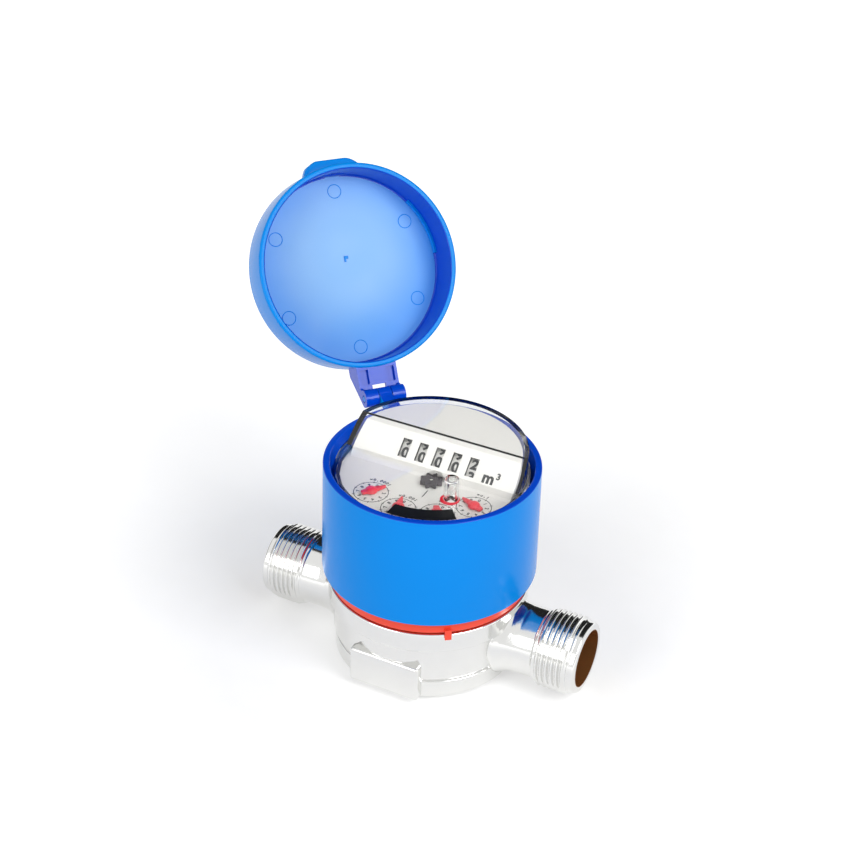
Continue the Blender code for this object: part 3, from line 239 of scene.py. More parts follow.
def metal(name, shade, rough, wave, lift, bore_shade=None):
    """A metal finish. wave is the size of its unevenness in mm, and lift is how strongly it shows."""
    finish, tree, place = new_finish(name)
    grain = add(tree, "ShaderNodeTexNoise", {"Vector": place, "Scale": 1000.0 / wave, "Detail": 3.0})
    patches = add(tree, "ShaderNodeTexNoise", {"Vector": place, "Scale": 1000.0 / 9.0, "Detail": 4.0})
    dull = add(tree, "ShaderNodeMapRange", {0: patches.outputs["Fac"], 3: rough * 0.75, 4: rough * 1.35})
    bump = add(tree, "ShaderNodeBump", {"Height": grain.outputs["Fac"], "Strength": lift,
                                        "Distance": 0.00005})
    shader = add(tree, "ShaderNodeBsdfPrincipled", {"Metallic": 1.0, "Roughness": dull.outputs[0],
                                                    "Normal": bump.outputs[0], "Base Color": linear(shade)})
    if bore_shade:
        axis = add(tree, "ShaderNodeMapping", {"Vector": place, "Location": (0, 0, -PIPE_HEIGHT / 1000),
                                               "Scale": (0, 1, 1)})
        reach = add(tree, "ShaderNodeVectorMath", {0: axis.outputs[0]}, operation="LENGTH")
        inside = add(tree, "ShaderNodeMath", {0: reach.outputs["Value"], 1: BORE_EDGE / 1000},
                     operation="LESS_THAN")
        tint = add(tree, "ShaderNodeMix", {6: linear(shade), 7: linear(bore_shade)}, data_type="RGBA")
        tree.links.new(inside.outputs[0], tint.inputs["Factor"])
        tree.links.new(tint.outputs[2], shader.inputs["Base Color"])
        oxide = add(tree, "ShaderNodeMath", {0: inside.outputs[0], 1: -0.3, 2: 1.0}, operation="MULTIPLY_ADD")
        tree.links.new(oxide.outputs[0], shader.inputs["Metallic"])
    add(tree, "ShaderNodeOutputMaterial", {0: shader.outputs[0]})
    return finish


bright_nickel = metal("bright nickel plate on ground brass", "#E2E2E0", 0.11, 1.6, 0.4, "#B07A48")
turned_brass = metal("turned brass", "#C9A35A", 0.28, 0.5, 0.4)
ground_steel = metal("ground stainless steel", "#C3C4C6", 0.22, 0.4, 0.35)
print("metals:", bright_nickel.name, turned_brass.name, ground_steel.name)

# %% [markdown]
# ## Moulded plastics
#
# The cap, lid and ring are injection moulded, the dial and rollers are opaque white, and the wheels are
# acetal. A moulded surface is smooth with a very fine unevenness from the tool, and thick spots sink in a
# little, so the gloss wanders. One function holds that, and each plastic gives it a colour, a gloss and a
# grain size. The lid's inner face is spark eroded in the mould, with fine pits about 0.25 mm apart. Its paler
# blue, palest in the middle, is a painted sheen.

# %% The plastics, the rubber and the magnet
LID_MIDDLE = (-0.0617, 0.0556, 0.1077)


def moulded(name, shade, rough, grain=0.35, lift=0.12, fleck=0.02, ior=1.5, gleam=0.5, pale=None):
    """A moulded or sintered finish, with its grain in millimetres and its colour varied by fleck."""
    finish, tree, place = new_finish(name)
    pits = add(tree, "ShaderNodeTexNoise", {"Vector": place, "Scale": 1000.0 / grain, "Detail": 2.0})
    flow = add(tree, "ShaderNodeTexNoise", {"Vector": place, "Scale": 1000.0 / 14.0, "Detail": 3.0})
    gloss = add(tree, "ShaderNodeMapRange", {0: flow.outputs["Fac"], 3: rough * 0.85, 4: rough * 1.2})
    level = add(tree, "ShaderNodeMapRange", {0: flow.outputs["Fac"], 3: 1.0 - fleck, 4: 1.0 + fleck})
    tint = add(tree, "ShaderNodeHueSaturation", {"Value": level.outputs[0], "Color": linear(shade)})
    # pale paints a sheen: the colour goes paler towards the middle of the open lid.
    if pale:
        away = add(tree, "ShaderNodeVectorMath", {0: place, 1: LID_MIDDLE}, operation="DISTANCE")
        ease = add(tree, "ShaderNodeMapRange", {0: away.outputs["Value"], 1: 0.012, 2: 0.034},
                   interpolation_type="SMOOTHSTEP")
        blend = add(tree, "ShaderNodeMix", {6: linear(pale), 7: linear(shade)}, data_type="RGBA")
        tree.links.new(ease.outputs[0], blend.inputs["Factor"])
        tree.links.new(blend.outputs[2], tint.inputs["Color"])
    bump = add(tree, "ShaderNodeBump", {"Height": pits.outputs["Fac"], "Strength": lift, "Distance": 0.00003})
    shader = add(tree, "ShaderNodeBsdfPrincipled", {"Base Color": tint.outputs[0], "IOR": ior,
                                                    "Roughness": gloss.outputs[0],
                                                    "Specular IOR Level": gleam, "Normal": bump.outputs[0]})
    add(tree, "ShaderNodeOutputMaterial", {0: shader.outputs[0]})
    return finish


blue_moulding = moulded("glossy blue ABS", "#008CEA", 0.22, ior=1.54, gleam=0.10)
# The inner walls, the rims and the hinge get a deeper blue, which is painted shade. Their finish is also
# glossier, because the core side of the mould is polished.
painted_shade_blue = moulded("polished blue ABS with painted shade", "#0048CC", 0.16, ior=1.54, gleam=0.25)
# The pits are drawn at 0.25 mm as a fine bump. The paler blue, palest in the middle of the lid, is a painted
# sheen of light and not the colour of the plastic.
eroded_blue_painted_sheen = moulded("spark eroded blue ABS with painted sheen", "#3F9CEE", 0.45, grain=0.25, lift=0.4, ior=1.54,
                      pale="#80BBF2")
red_moulding = moulded("satin red polypropylene", "#F8462A", 0.34)
white_moulding = moulded("white polystyrene", "#DDD9D4", 0.45, ior=1.59)
natural_acetal = moulded("natural acetal", "#E9E6DA", 0.38, fleck=0.03, ior=1.48)
grey_acetal = moulded("dark grey acetal", "#31292E", 0.38, ior=1.48)
pointer_red = moulded("red hot stamped acetal", "#E00C2C", 0.3, ior=1.48)
# The black ink of the print, also used as painted shade on the walls of the dial's windows.
print_and_shade_black = moulded("black pad print and painted shade", "#070707", 0.5, gleam=0.3)
soft_rubber = moulded("black nitrile rubber", "#161616", 0.6, grain=0.2, lift=0.5)
dull_ferrite = moulded("sintered ferrite", "#3A3A3E", 0.55, grain=0.3, lift=0.8, ior=2.0)
print("plastics and rubbers:", len([m for m in bpy.data.materials if m.use_nodes]))

# %% [markdown]
# ## Clear polycarbonate
#
# The cover is thin moulded polycarbonate with an IOR of about 1.58. A pure glass shader would cast a dark
# shadow on the dial, because the renderer doesn't focus light through it. So rays that look for a shadow pass
# straight through, and all others meet the clear plastic with its sharp reflections.

# %% The cover's finish
clear_cover_finish, tree, place = new_finish("clear polycarbonate")
ripple = add(tree, "ShaderNodeTexNoise", {"Vector": place, "Scale": 1000.0 / 6.0})
bump = add(tree, "ShaderNodeBump", {"Height": ripple.outputs["Fac"], "Strength": 0.08, "Distance": 0.00005})
clear = add(tree, "ShaderNodeBsdfPrincipled", {"Base Color": linear("#FCFDFD"), "Roughness": 0.02,
                                               "IOR": 1.58, "Transmission Weight": 1.0,
                                               "Normal": bump.outputs[0]})
rays = add(tree, "ShaderNodeLightPath")
passing = add(tree, "ShaderNodeBsdfTransparent", {"Color": linear("#F7F9F9")})
mixed = add(tree, "ShaderNodeMixShader", {0: rays.outputs["Is Shadow Ray"], 1: clear.outputs[0],
                                          2: passing.outputs[0]})
add(tree, "ShaderNodeOutputMaterial", {0: mixed.outputs[0]})
print(clear_cover_finish.name, "IOR", clear.inputs["IOR"].default_value)

# %% [markdown]
# ## Finishes for the plain solids
#
# Inside the meter the solids of the mechanical model are good as they are: wheels, shafts and plates. They
# only need a finish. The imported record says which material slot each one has, so a table from slot to finish
# does them all, and only the pointers are told apart by name.

# %% Paint the solids that stay
SLOT_FINISH = {
    "nickel_plated_brass": bright_nickel, "turned_brass": turned_brass, "stainless_steel": ground_steel,
    "sintered_ferrite": dull_ferrite, "black_rubber": soft_rubber, "red_plastic": red_moulding,
    "blue_plastic": blue_moulding, "white_plastic": white_moulding, "natural_acetal": natural_acetal,
    "dark_grey_acetal": grey_acetal, "clear_polycarbonate": clear_cover_finish,
}
for part in frame["record"]["subparts"]:
    name = part["node"]
    finish = SLOT_FINISH[part["material_slot"]]
    if name.startswith("pointer_") and "arbor" not in name:
        finish = pointer_red
    for socket in frame["nodes"][name].material_slots:
        socket.link = "OBJECT"
        socket.material = finish

# %% [markdown]
# ## The casting
#
# The casting is one turned pot with a wide neck, two stubs on one line and a broad foot pad. Its profile
# and the stubs are turned and joined, and the wet chamber, ports and bores are cut out again, so the open
# bores are real. The stubs widen where they meet the pot, which stands for the casting's fillet.

# %% The plated casting
POT = [(0.0, 28.0), (33.2, 28.0), (33.2, 21.2), (31.4, 20.3), (31.4, 8.4), (30.1, 7.9), (30.1, 7.3),
       (31.0, 7.0), (31.0, 1.2), (29.8, 0.0), (0.0, 0.0)]
CHAMBER = [(0.0, 2.5), (1.2, 2.5), (1.2, 5.5), (3.2, 5.5), (3.2, 3.5), (25.5, 3.5), (25.5, 21.5),
           (28.5, 21.5), (28.5, 28.5), (0.0, 28.5)]
STUB = [(0.0, 20.0), (13.6, 20.0), (13.6, 29.6), (12.7, 31.2), (11.95, 33.4), (11.6, 36.5), (11.6, 42.3),
        (12.06, 42.9), (12.06, 57.0), (11.6, 57.5), (0.0, 57.5)]
BORE_RADIUS = 9.6
PORT_RADIUS = 5.4
PORT_MOUTH = (39.5, 0.0)
PORT_END = (15.0, 15.0)


def lying(thing, start, way):
    """A form turned about Z, laid with its axis from a start point along a flat direction."""
    turn = Vector((0, 0, 1)).rotation_difference(Vector((way[0], way[1], 0))).to_matrix().to_4x4()
    return moved(thing, Matrix.Translation((start[0], start[1], PIPE_HEIGHT)) @ turn)


casting = turned("plated_casting", soften(POT, 0.5))
combine(casting, "UNION", bevelled(block("pad", (-12.25, -32.0, 1.2), (12.25, 32.0, 14.2)), 0.8))
for side in (1, -1):
    combine(casting, "UNION", lying(turned("stub", soften(STUB, 0.3), 128), (0, 0), (side, 0)))
combine(casting, "DIFFERENCE", turned("chamber", CHAMBER))
for side in (1, -1):
    way = (side * (PORT_END[0] - PORT_MOUTH[0]), side * (PORT_END[1] - PORT_MOUTH[1]))
    length = math.hypot(*way)
    mouth = (side * PORT_MOUTH[0], side * PORT_MOUTH[1])
    bore = lying(turned("bore", disc(BORE_RADIUS, 58.5, 37.5), 96), (0, 0), (side, 0))
    port = lying(turned("port", disc(PORT_RADIUS, length, 0.0), 64), mouth, way)
    combine(casting, "DIFFERENCE", bore, port)
piece(casting, bright_nickel, "casting", "nickel_plated_brass", "meter_body")

# %% [markdown]
# ## The pipe threads
#
# A parallel pipe thread of 26.4 mm has 14 turns to the inch, a pitch of 1.814 mm. It is the clearest thing
# here that repeats along a path, so Geometry Nodes make it: a flat grid is sheared by one pitch and rolled
# up, and a trapezoid wave along the rows lifts crests and roots. The seam meets exactly, because one row of
# the grid starts where the row one pitch before it ends, and merging by distance closes it.

# %% The geometry tree of a thread
def new_tree(name, **sizes):
    """A geometry tree with one named input for each size, and its input node."""
    tree = bpy.data.node_groups.new(name, "GeometryNodeTree")
    tree.interface.new_socket("Geometry", in_out="INPUT", socket_type="NodeSocketGeometry")
    for label, value in sizes.items():
        kind = "NodeSocketInt" if isinstance(value, int) else "NodeSocketFloat"
        socket = tree.interface.new_socket(label.replace("_", " "), in_out="INPUT", socket_type=kind)
        socket.default_value = value
    tree.interface.new_socket("Geometry", in_out="OUTPUT", socket_type="NodeSocketGeometry")
    return tree, tree.nodes.new("NodeGroupInput").outputs


def grown(name, tree, start=None, **sizes):
    """The plain mesh that a geometry tree makes with these sizes."""
    thing = bpy.data.objects.new(name, start or bpy.data.meshes.new(name))
    bpy.context.scene.collection.objects.link(thing)
    step = thing.modifiers.new(name, "NODES")
    step.node_group = tree
    for item in tree.interface.items_tree:
        key = item.name.replace(" ", "_")
        if item.in_out == "INPUT" and key in sizes:
            step[item.identifier] = sizes[key]
    return settle(thing)


ROWS = 10
TURNS = 8
thread_tree, size = new_tree("pipe_thread", Root_radius=12.1, Crest_radius=13.22, Pitch=1.814, Length=12.698,
                             Start=42.9, Height=PIPE_HEIGHT)


def calc(tree, operation, first, second=0.0):
    """The result of one sum on a geometry tree."""
    return add(tree, "ShaderNodeMath", {0: first, 1: second}, operation=operation).outputs[0]


def held(tree, value, low, high):
    """A value kept between two others."""
    return calc(tree, "MINIMUM", calc(tree, "MAXIMUM", value, low), high)


grid = add(thread_tree, "GeometryNodeMeshGrid", {"Size X": float(TURNS), "Size Y": 1.0,
                                                 "Vertices X": TURNS * ROWS + 1, "Vertices Y": 97})
where = add(thread_tree, "GeometryNodeInputPosition")
spot = add(thread_tree, "ShaderNodeSeparateXYZ", {0: where.outputs[0]})
along = calc(thread_tree, "ADD", spot.outputs["X"], TURNS / 2.0)
around = calc(thread_tree, "ADD", spot.outputs["Y"], 0.5)
turns_done = calc(thread_tree, "ADD", calc(thread_tree, "SUBTRACT", along, 1.0), around)
raw = calc(thread_tree, "MULTIPLY", turns_done, size["Pitch"])
axial = held(thread_tree, raw, 0.0, size["Length"])
swing = calc(thread_tree, "MULTIPLY", calc(thread_tree, "FRACT", along), 2.0)
wave = calc(thread_tree, "ABSOLUTE", calc(thread_tree, "SUBTRACT", swing, 1.0))
flank = calc(thread_tree, "DIVIDE", calc(thread_tree, "SUBTRACT", 0.86, wave), 0.72)
form = held(thread_tree, flank, 0.0, 1.0)
start_fade = held(thread_tree, calc(thread_tree, "DIVIDE", axial, size["Pitch"]), 0.0, 1.0)
left = calc(thread_tree, "DIVIDE", calc(thread_tree, "SUBTRACT", size["Length"], axial), size["Pitch"])
fades = calc(thread_tree, "MULTIPLY", start_fade, held(thread_tree, left, 0.0, 1.0))
lift = calc(thread_tree, "MULTIPLY", calc(thread_tree, "MULTIPLY", form, fades),
            calc(thread_tree, "SUBTRACT", size["Crest radius"], size["Root radius"]))
beyond = calc(thread_tree, "ABSOLUTE", calc(thread_tree, "SUBTRACT", raw, axial))
past = calc(thread_tree, "MINIMUM", beyond, 0.3)
reach = calc(thread_tree, "SUBTRACT", calc(thread_tree, "ADD", size["Root radius"], lift), past)
angle = calc(thread_tree, "MULTIPLY", around, math.tau)
place = add(thread_tree, "ShaderNodeCombineXYZ", {
    "X": calc(thread_tree, "ADD", size["Start"], axial),
    "Y": calc(thread_tree, "MULTIPLY", reach, calc(thread_tree, "COSINE", angle)),
    "Z": calc(thread_tree, "ADD", size["Height"], calc(
        thread_tree, "MULTIPLY", reach, calc(thread_tree, "SINE", angle)))})
rolled = add(thread_tree, "GeometryNodeSetPosition", {"Geometry": grid.outputs[0],
                                                      "Position": place.outputs[0]})
outward = add(thread_tree, "GeometryNodeFlipFaces", {0: rolled.outputs[0]})
joined = add(thread_tree, "GeometryNodeMergeByDistance", {"Geometry": outward.outputs[0], "Distance": 0.0005})
real = add(thread_tree, "GeometryNodeRealizeInstances", {0: joined.outputs[0]})
plated = add(thread_tree, "GeometryNodeSetMaterial", {"Geometry": real.outputs[0], "Material": bright_nickel})
add(thread_tree, "NodeGroupOutput", {0: plated.outputs[0]})
print("thread tree with", len(thread_tree.nodes), "nodes")

# %% A thread on each stub
for name, turn in (("outlet_pipe_thread", 0.0), ("inlet_pipe_thread", math.pi)):
    thread = moved(grown(name, thread_tree, Pitch=1.814), Matrix.Rotation(turn, 4, "Z"))
    piece(thread, bright_nickel, "casting", "nickel_plated_brass", solid=False, crease=60.0)

# %% [markdown]
# ## The red lock ring
#
# The ring snaps over the casting's neck and can't be taken off without breaking it. It is a turned moulding
# with one small locking nub and a catch below it. Its lip and skirt are softened by 0.35 mm.

# %% The lock ring
RING = [(32.9, 33.0), (32.9, 28.9), (32.4, 28.3), (29.0, 28.3), (29.0, 30.6), (27.5, 30.6), (27.5, 33.0)]
NUB_TURN = Matrix.Rotation(math.radians(-53.0), 4, "Z")
ring = turned("lock_ring", soften(RING, 0.35, True), closed=True)
for low, high in (((31.9, -1.1, 28.6), (34.2, 1.1, 30.3)), ((33.5, -1.1, 26.5), (34.2, 1.1, 29.3))):
    combine(ring, "UNION", moved(bevelled(block("nub", low, high), 0.25), NUB_TURN))
piece(ring, red_moulding, "casting", "red_plastic", "red_lock_ring")

# %% [markdown]
# ## The blue cap
#
# The cap is a thin sleeve round the register, with one arm that carries the hinge. The section is drawn
# once and turned; the arm is pushed out of its side outline, and the hinge lies 48 degrees round from +Y.

# %% The cap
HINGE_TURN = Matrix.Rotation(math.radians(48.0), 4, "Z")
HINGE = (45.0, 70.5)
KNUCKLE_RADIUS = 3.0
SLEEVE = [(34.9, 72.0), (35.3, 33.3), (31.3, 33.3), (31.3, 34.9), (33.1, 34.9), (32.7, 72.0)]
ARM = [(33.9, 61.5), (33.9, 71.6), (41.5, 72.2), (45.0, 73.4), (45.0, 67.6), (42.0, 67.5)]
SLEEVE_INSIDE = 34.2
RIM_LEVEL = 71.4


def knuckle(name, radius, low, high):
    """A round form on the hinge line, from low to high along X."""
    lain = Matrix.Translation((0, HINGE[0], HINGE[1])) @ Matrix.Rotation(math.radians(90.0), 4, "Y")
    return moved(turned(name, disc(radius, high, low), 64), lain)


cap = turned("cap_sleeve", soften(SLEEVE, 0.45, True), closed=True)
arm = bevelled(prism("arm", ARM, -2.2, 2.2), 0.4)
combine(arm, "UNION", knuckle("knuckle", KNUCKLE_RADIUS, -2.2, 2.2))
combine(cap, "UNION", moved(arm, HINGE_TURN))
combine(cap, "DIFFERENCE", moved(knuckle("pin_hole", 1.15, -4.0, 4.0), HINGE_TURN))
cap.data.materials.clear()
cap.data.materials.append(blue_moulding)
cap.data.materials.append(painted_shade_blue)
# Painted shade: the sleeve's inner wall and the upward faces above the rim level take the deeper blue.
for polygon in cap.data.polygons:
    inside = polygon.center.xy.length < SLEEVE_INSIDE
    on_rim = polygon.normal.z > 0.5 and polygon.center.z > RIM_LEVEL
    polygon.material_index = 1 if inside or on_rim else 0
piece(cap, blue_moulding, "cap", "blue_plastic", "cap_shroud")

# %% [markdown]
# ## The lid
#
# The lid is drawn closed, where its shape is easy to measure, and then swung open by 121.5 degrees about
# the hinge. Its inner face keeps the marks of the mould: six ejector rings, a small gate mark in the middle,
# and a spark-eroded face inside a smooth wall. The rings repeat round a circle, so Geometry Nodes place
# them.

# %% The lid's shell
LID = [(0.0, 89.0), (33.9, 89.0), (34.8, 88.1), (34.8, 72.4), (32.8, 72.4), (32.8, 87.0), (0.0, 87.0)]
WEB = [(33.8, 73.2), (33.8, 82.4), (37.0, 82.4), (47.4, 72.3), (45.0, 70.5), (42.2, 71.5), (41.4, 73.2)]
DISC_LEVEL = 87.0
DISC_EDGE = 32.3
WALL_REACH = 33.1
LID_FOOT = 72.5
HINGE_SIDE = 34.9
HINGE_ROOF = 84.0
OPENED =HINGE_TURN @ Matrix.Translation((0, HINGE[0], HINGE[1])) @ Matrix.Rotation(
    math.radians(-121.5), 4, "X") @ Matrix.Translation((0, -HINGE[0], -HINGE[1]))

TAB = [(-11.0, -32.3), (-9.5, -35.9), (-6.0, -38.0), (6.0, -38.0), (9.5, -35.9), (11.0, -32.3)]
lid = turned("lid_shell", soften(LID, 0.7))
combine(lid, "UNION", bevelled(prism("tab", soften(TAB, 1.6), 84.0, 88.1, "Z"), 0.7))
for side in (1, -1):
    low, high = sorted((side * 2.5, side * 7.1))
    web = prism("web", WEB, side * 6.6 - 0.5, side * 6.6 + 0.5)
    plate = block("plate", (low, 33.8, 73.2), (high, 43.4, 75.0))
    eye = knuckle("eye", KNUCKLE_RADIUS, low, high)
    combine(lid, "UNION", web, plate, eye)
combine(lid, "UNION", block("bridge", (-3.0, 33.8, 73.2), (3.0, 40.8, 75.0)))
for side in (1, -1):
    low = min(side * 3.2, side * 6.1)
    combine(lid, "DIFFERENCE", block("pocket", (low, 35.3, 72.5), (low + 2.9, 40.4, 74.5)))
combine(lid, "DIFFERENCE", knuckle("pin_hole", 1.3, -9.0, 9.0))
lid.data.materials.clear()
for finish in (blue_moulding, eroded_blue_painted_sheen, painted_shade_blue):
    lid.data.materials.append(finish)
# Painted light: the inner disc takes the paler blue as a painted sheen, and the inner wall and the hinge take
# the deeper blue as painted shade.
for polygon in lid.data.polygons:
    reach = polygon.center.xy.length
    on_disc = abs(polygon.center.z - DISC_LEVEL) < 0.02 and reach < DISC_EDGE
    on_wall = not on_disc and reach < WALL_REACH and LID_FOOT < polygon.center.z < DISC_LEVEL + 0.1
    at_hinge = polygon.center.y > HINGE_SIDE and polygon.center.z < HINGE_ROOF
    polygon.material_index = 1 if on_disc else 2 if on_wall or at_hinge else 0
piece(moved(lid, OPENED), blue_moulding, "lid", "blue_plastic", "lid")

# %% The ejector rings and the other marks in the lid
rings_tree, size = new_tree("ejector_rings", Rings=6, Circle_radius=27.2, Ring_radius=2.35, Bead=0.14)
spots = add(rings_tree, "GeometryNodeMeshCircle", {"Vertices": size["Rings"],
                                                   "Radius": size["Circle radius"]})
path = add(rings_tree, "GeometryNodeCurvePrimitiveCircle", {"Resolution": 40, "Radius": size["Ring radius"]})
bead = add(rings_tree, "GeometryNodeCurvePrimitiveCircle", {"Resolution": 8, "Radius": size["Bead"]})
tube = add(rings_tree, "GeometryNodeCurveToMesh", {"Curve": path.outputs[0],
                                                   "Profile Curve": bead.outputs[0]})
laid = add(rings_tree, "GeometryNodeInstanceOnPoints", {"Points": spots.outputs[0],
                                                        "Instance": tube.outputs[0]})
real = add(rings_tree, "GeometryNodeRealizeInstances", {0: laid.outputs[0]})
made = add(rings_tree, "GeometryNodeSetMaterial", {"Geometry": real.outputs[0], "Material": blue_moulding})
add(rings_tree, "NodeGroupOutput", {0: made.outputs[0]})
ejectors = moved(grown("lid_ejector_rings", rings_tree, Rings=6), Matrix.Translation((0, 0, DISC_LEVEL))
                 @ Matrix.Rotation(math.radians(-90.0), 4, "Z"))
piece(moved(ejectors, OPENED), blue_moulding, "lid", "blue_plastic")

gate = bevelled(block("lid_gate_mark", (-0.6, -4.6, DISC_LEVEL - 0.35), (0.9, -3.6, DISC_LEVEL + 0.1)), 0.12)
combine(gate, "UNION", block("stem", (-0.6, -3.9, DISC_LEVEL - 0.35), (0.0, -2.6, DISC_LEVEL + 0.1)))
piece(moved(gate, OPENED), blue_moulding, "lid", "blue_plastic")

RIB_START = math.radians(-39.0)
RIB_END = math.radians(-2.0)
arc = [(RIB_START + (RIB_END - RIB_START) * i / 24.0) for i in range(25)]
outline = [(32.95 * math.cos(a), 32.95 * math.sin(a)) for a in arc]
outline += [(31.9 * math.cos(a), 31.9 * math.sin(a)) for a in reversed(arc)]
rib =bevelled(prism("lid_arc_rib", outline, 85.2, 86.8, "Z"), 0.15)
piece(moved(rib, OPENED), blue_moulding, "lid", "blue_plastic")

# %% [markdown]
# ## The dial
#
# The dial is one white moulding: a flat for the pointers, and behind it a slope with five windows in front of
# the rollers. A wedge crossed with a cylinder makes the raised part, and the same wedge drawn in by the wall
# makes its hollow.

# %% The dial plate
SLOPE = math.radians(42.0)
DIAL_LEVEL = 66.0
DIAL_EDGE = 7.5
DIAL_TOP = 75.3
DIAL_WALL = 1.2
STAR = (2.0, -4.6)
POINTERS = [(-12.40, -18.17), (-0.77, -21.99), (11.10, -18.99), (19.53, -10.12)]
ROLLERS = [-11.34, -5.37, 0.6, 6.57, 12.54]
WINDOW = Vector((0.0, 3.19, 71.42))


def wedge(edge, top, offset, bottom):
    """The side of a raised part with a flat top and a slope, drawn in by an offset all round."""
    shift = offset / math.sin(SLOPE)
    foot = edge + shift - (top - bottom) / math.tan(SLOPE)
    return [(foot, bottom), (edge + shift - offset / math.tan(SLOPE), top - offset), (39.9, top - offset),
            (39.9, bottom)]


def crown(name, edge, top, offset, bottom, radius):
    """A cylinder crossed with a wedge."""
    form = turned(name, disc(radius, top + 1.0, bottom))
    return combine(form, "INTERSECT", prism("side", wedge(edge, top, offset, bottom), -40.0, 40.0))


def upright(name, radius, top, bottom, spot, facets=64):
    """A round form standing at a spot of the dial."""
    return moved(turned(name, disc(radius, top, bottom), facets), Matrix.Translation((spot[0], spot[1], 0)))


dial = turned("white_dial", disc(30.6, DIAL_LEVEL, 64.8))
raised = crown("raised", DIAL_EDGE, DIAL_TOP, 0.0, 65.1, 28.5)
combine(raised, "DIFFERENCE", upright("pocket", 4.3, 77.0, DIAL_LEVEL, STAR))
combine(dial, "UNION", raised)
hollow = crown("hollow", DIAL_EDGE, DIAL_TOP, DIAL_WALL, 63.8, 28.5 - DIAL_WALL)
combine(hollow, "DIFFERENCE", upright("guard", 4.3 + DIAL_WALL, 77.0, 62.8, STAR))
combine(dial, "DIFFERENCE", hollow)
TILT = Matrix.Translation(WINDOW) @ Matrix.Rotation(SLOPE, 4, "X")
for x in ROLLERS:
    combine(dial, "DIFFERENCE", moved(block("window", (x - 1.55, -3.15, -2.4), (x + 1.55, 3.15, 1.2)), TILT))
for spot in [STAR] + POINTERS:
    combine(dial, "DIFFERENCE", upright("hole", 0.85, 67.0, 63.8, spot, 24))
dial.data.materials.clear()
dial.data.materials.append(white_moulding)
dial.data.materials.append(print_and_shade_black)
to_slope = TILT.inverted()
# Painted shade: the inner walls of the five windows take the black finish, for the shade in those recesses.
for polygon in dial.data.polygons:
    middle = to_slope @ polygon.center
    across = min(abs(middle.x - x) for x in ROLLERS) < 1.56
    wall = across and abs(middle.y) < 3.16 and abs((to_slope.to_3x3() @ polygon.normal).z) < 0.3
    polygon.material_index = 1 if wall else 0
piece(dial, white_moulding, "register", "white_plastic", "dial_plate")

# %% [markdown]
# ## The pointers
#
# A pointer is a flat red blade pressed on its arbor, with a domed hub. The dome catches one small highlight,
# which is what the eye finds first on the dial.

# %% Four pointers
DIRECTIONS = [54.0, 104.0, -60.0, 158.0]
DOME = [(0.0, 67.9), (1.2, 67.7), (1.85, 67.2), (2.0, 66.7), (2.0, 66.3), (0.0, 66.3)]
BLADE = [(5.2, 0.3), (0.0, 1.5), (-3.3, 0.8), (-3.3, -0.8), (0.0, -1.5), (5.2, -0.3)]
for i, (x, y) in enumerate(POINTERS):
    pointer = bevelled(prism("red_pointer_%d" % (i + 1), BLADE, 66.3, 67.1, "Z"), 0.12)
    combine(pointer, "UNION", turned("dome", soften(DOME, 0.3), 48))
    moved(pointer, Matrix.Translation((x, y, 0.0)) @ Matrix.Rotation(math.radians(DIRECTIONS[i]), 4, "Z"))
    piece(pointer, pointer_red, "pointer_" + "abcd"[i], "red_plastic", "pointer_%d" % (i + 1))

# %% [markdown]
# ## The clear cover
#
# The cover repeats the dial's wedge on a larger scale, with a wall of 1.3 mm, and has a small round boss at
# the front, hollow from below. Its corners are rounded a little, because the bright line along its crease is
# what shows the eye that something clear is there at all.

# %% The cover
BOSS = (12.9, -13.0)
cover = turned("clear_window", disc(31.3, 69.6, 67.2))
combine(cover, "UNION", crown("cover_raised", 7.8, 77.8, 0.0, 69.2, 30.4))
combine(cover, "UNION", upright("boss", 2.3, 77.0, 69.2, BOSS))
bevelled(cover, 0.25)
combine(cover, "DIFFERENCE", turned("shallow", disc(30.0, 68.3, 66.2)))
combine(cover, "DIFFERENCE", crown("deep", 7.8, 77.8, 1.3, 66.2, 29.1))
combine(cover, "DIFFERENCE", upright("core", 1.4, 76.0, 66.2, BOSS))
piece(cover, clear_cover_finish, "register", "clear_polycarbonate", "clear_cover")

# %% [markdown]
# ## Printing on the dial
#
# Pad printing lays down a film of ink a few hundredths of a millimetre thick. Each figure starts as a text
# object, becomes a mesh and is scaled to its real height, and the figures of one body are joined to one
# piece. The ring of ticks round each pointer repeats on two levels, so a geometry tree makes it: ticks on a
# circle, and that circle on the four pointer spots.

# %% Figures and ticks
INK = 0.03


def figure(text, height, bold=0.042):
    """The mesh of some figures, centred on their own middle and with digits of this height."""
    curve = bpy.data.curves.new("figure", "FONT")
    curve.body = text
    curve.extrude = 0.01
    curve.offset = bold
    curve.resolution_u = 4
    holder = bpy.data.objects.new("figure", curve)
    bpy.context.scene.collection.objects.link(holder)
    mesh = bpy.data.meshes.new_from_object(holder.evaluated_get(bpy.context.evaluated_depsgraph_get()))
    bpy.data.objects.remove(holder)
    xs = [v.co.x for v in mesh.vertices]
    scale = height / 0.70
    mesh.transform(Matrix.Translation((-(min(xs) + max(xs)) / 2.0, -0.35, 0.0)))
    mesh.transform(Matrix.Diagonal((scale, scale, INK / 0.02, 1.0)))
    return mesh


def printed(name, body, entries):
    """One black piece from many meshes, each with the matrix that places it."""
    bm = bmesh.new()
    for mesh, matrix in entries:
        mesh.transform(matrix)
        bm.from_mesh(mesh)
    return piece(linked(name, bm), print_and_shade_black, body, "white_plastic")


def laid_flat(x, y, turn):
    """Where a figure lies on the dial, and how it is turned."""
    return Matrix.Translation((x, y, DIAL_LEVEL)) @ Matrix.Rotation(turn, 4, "Z")


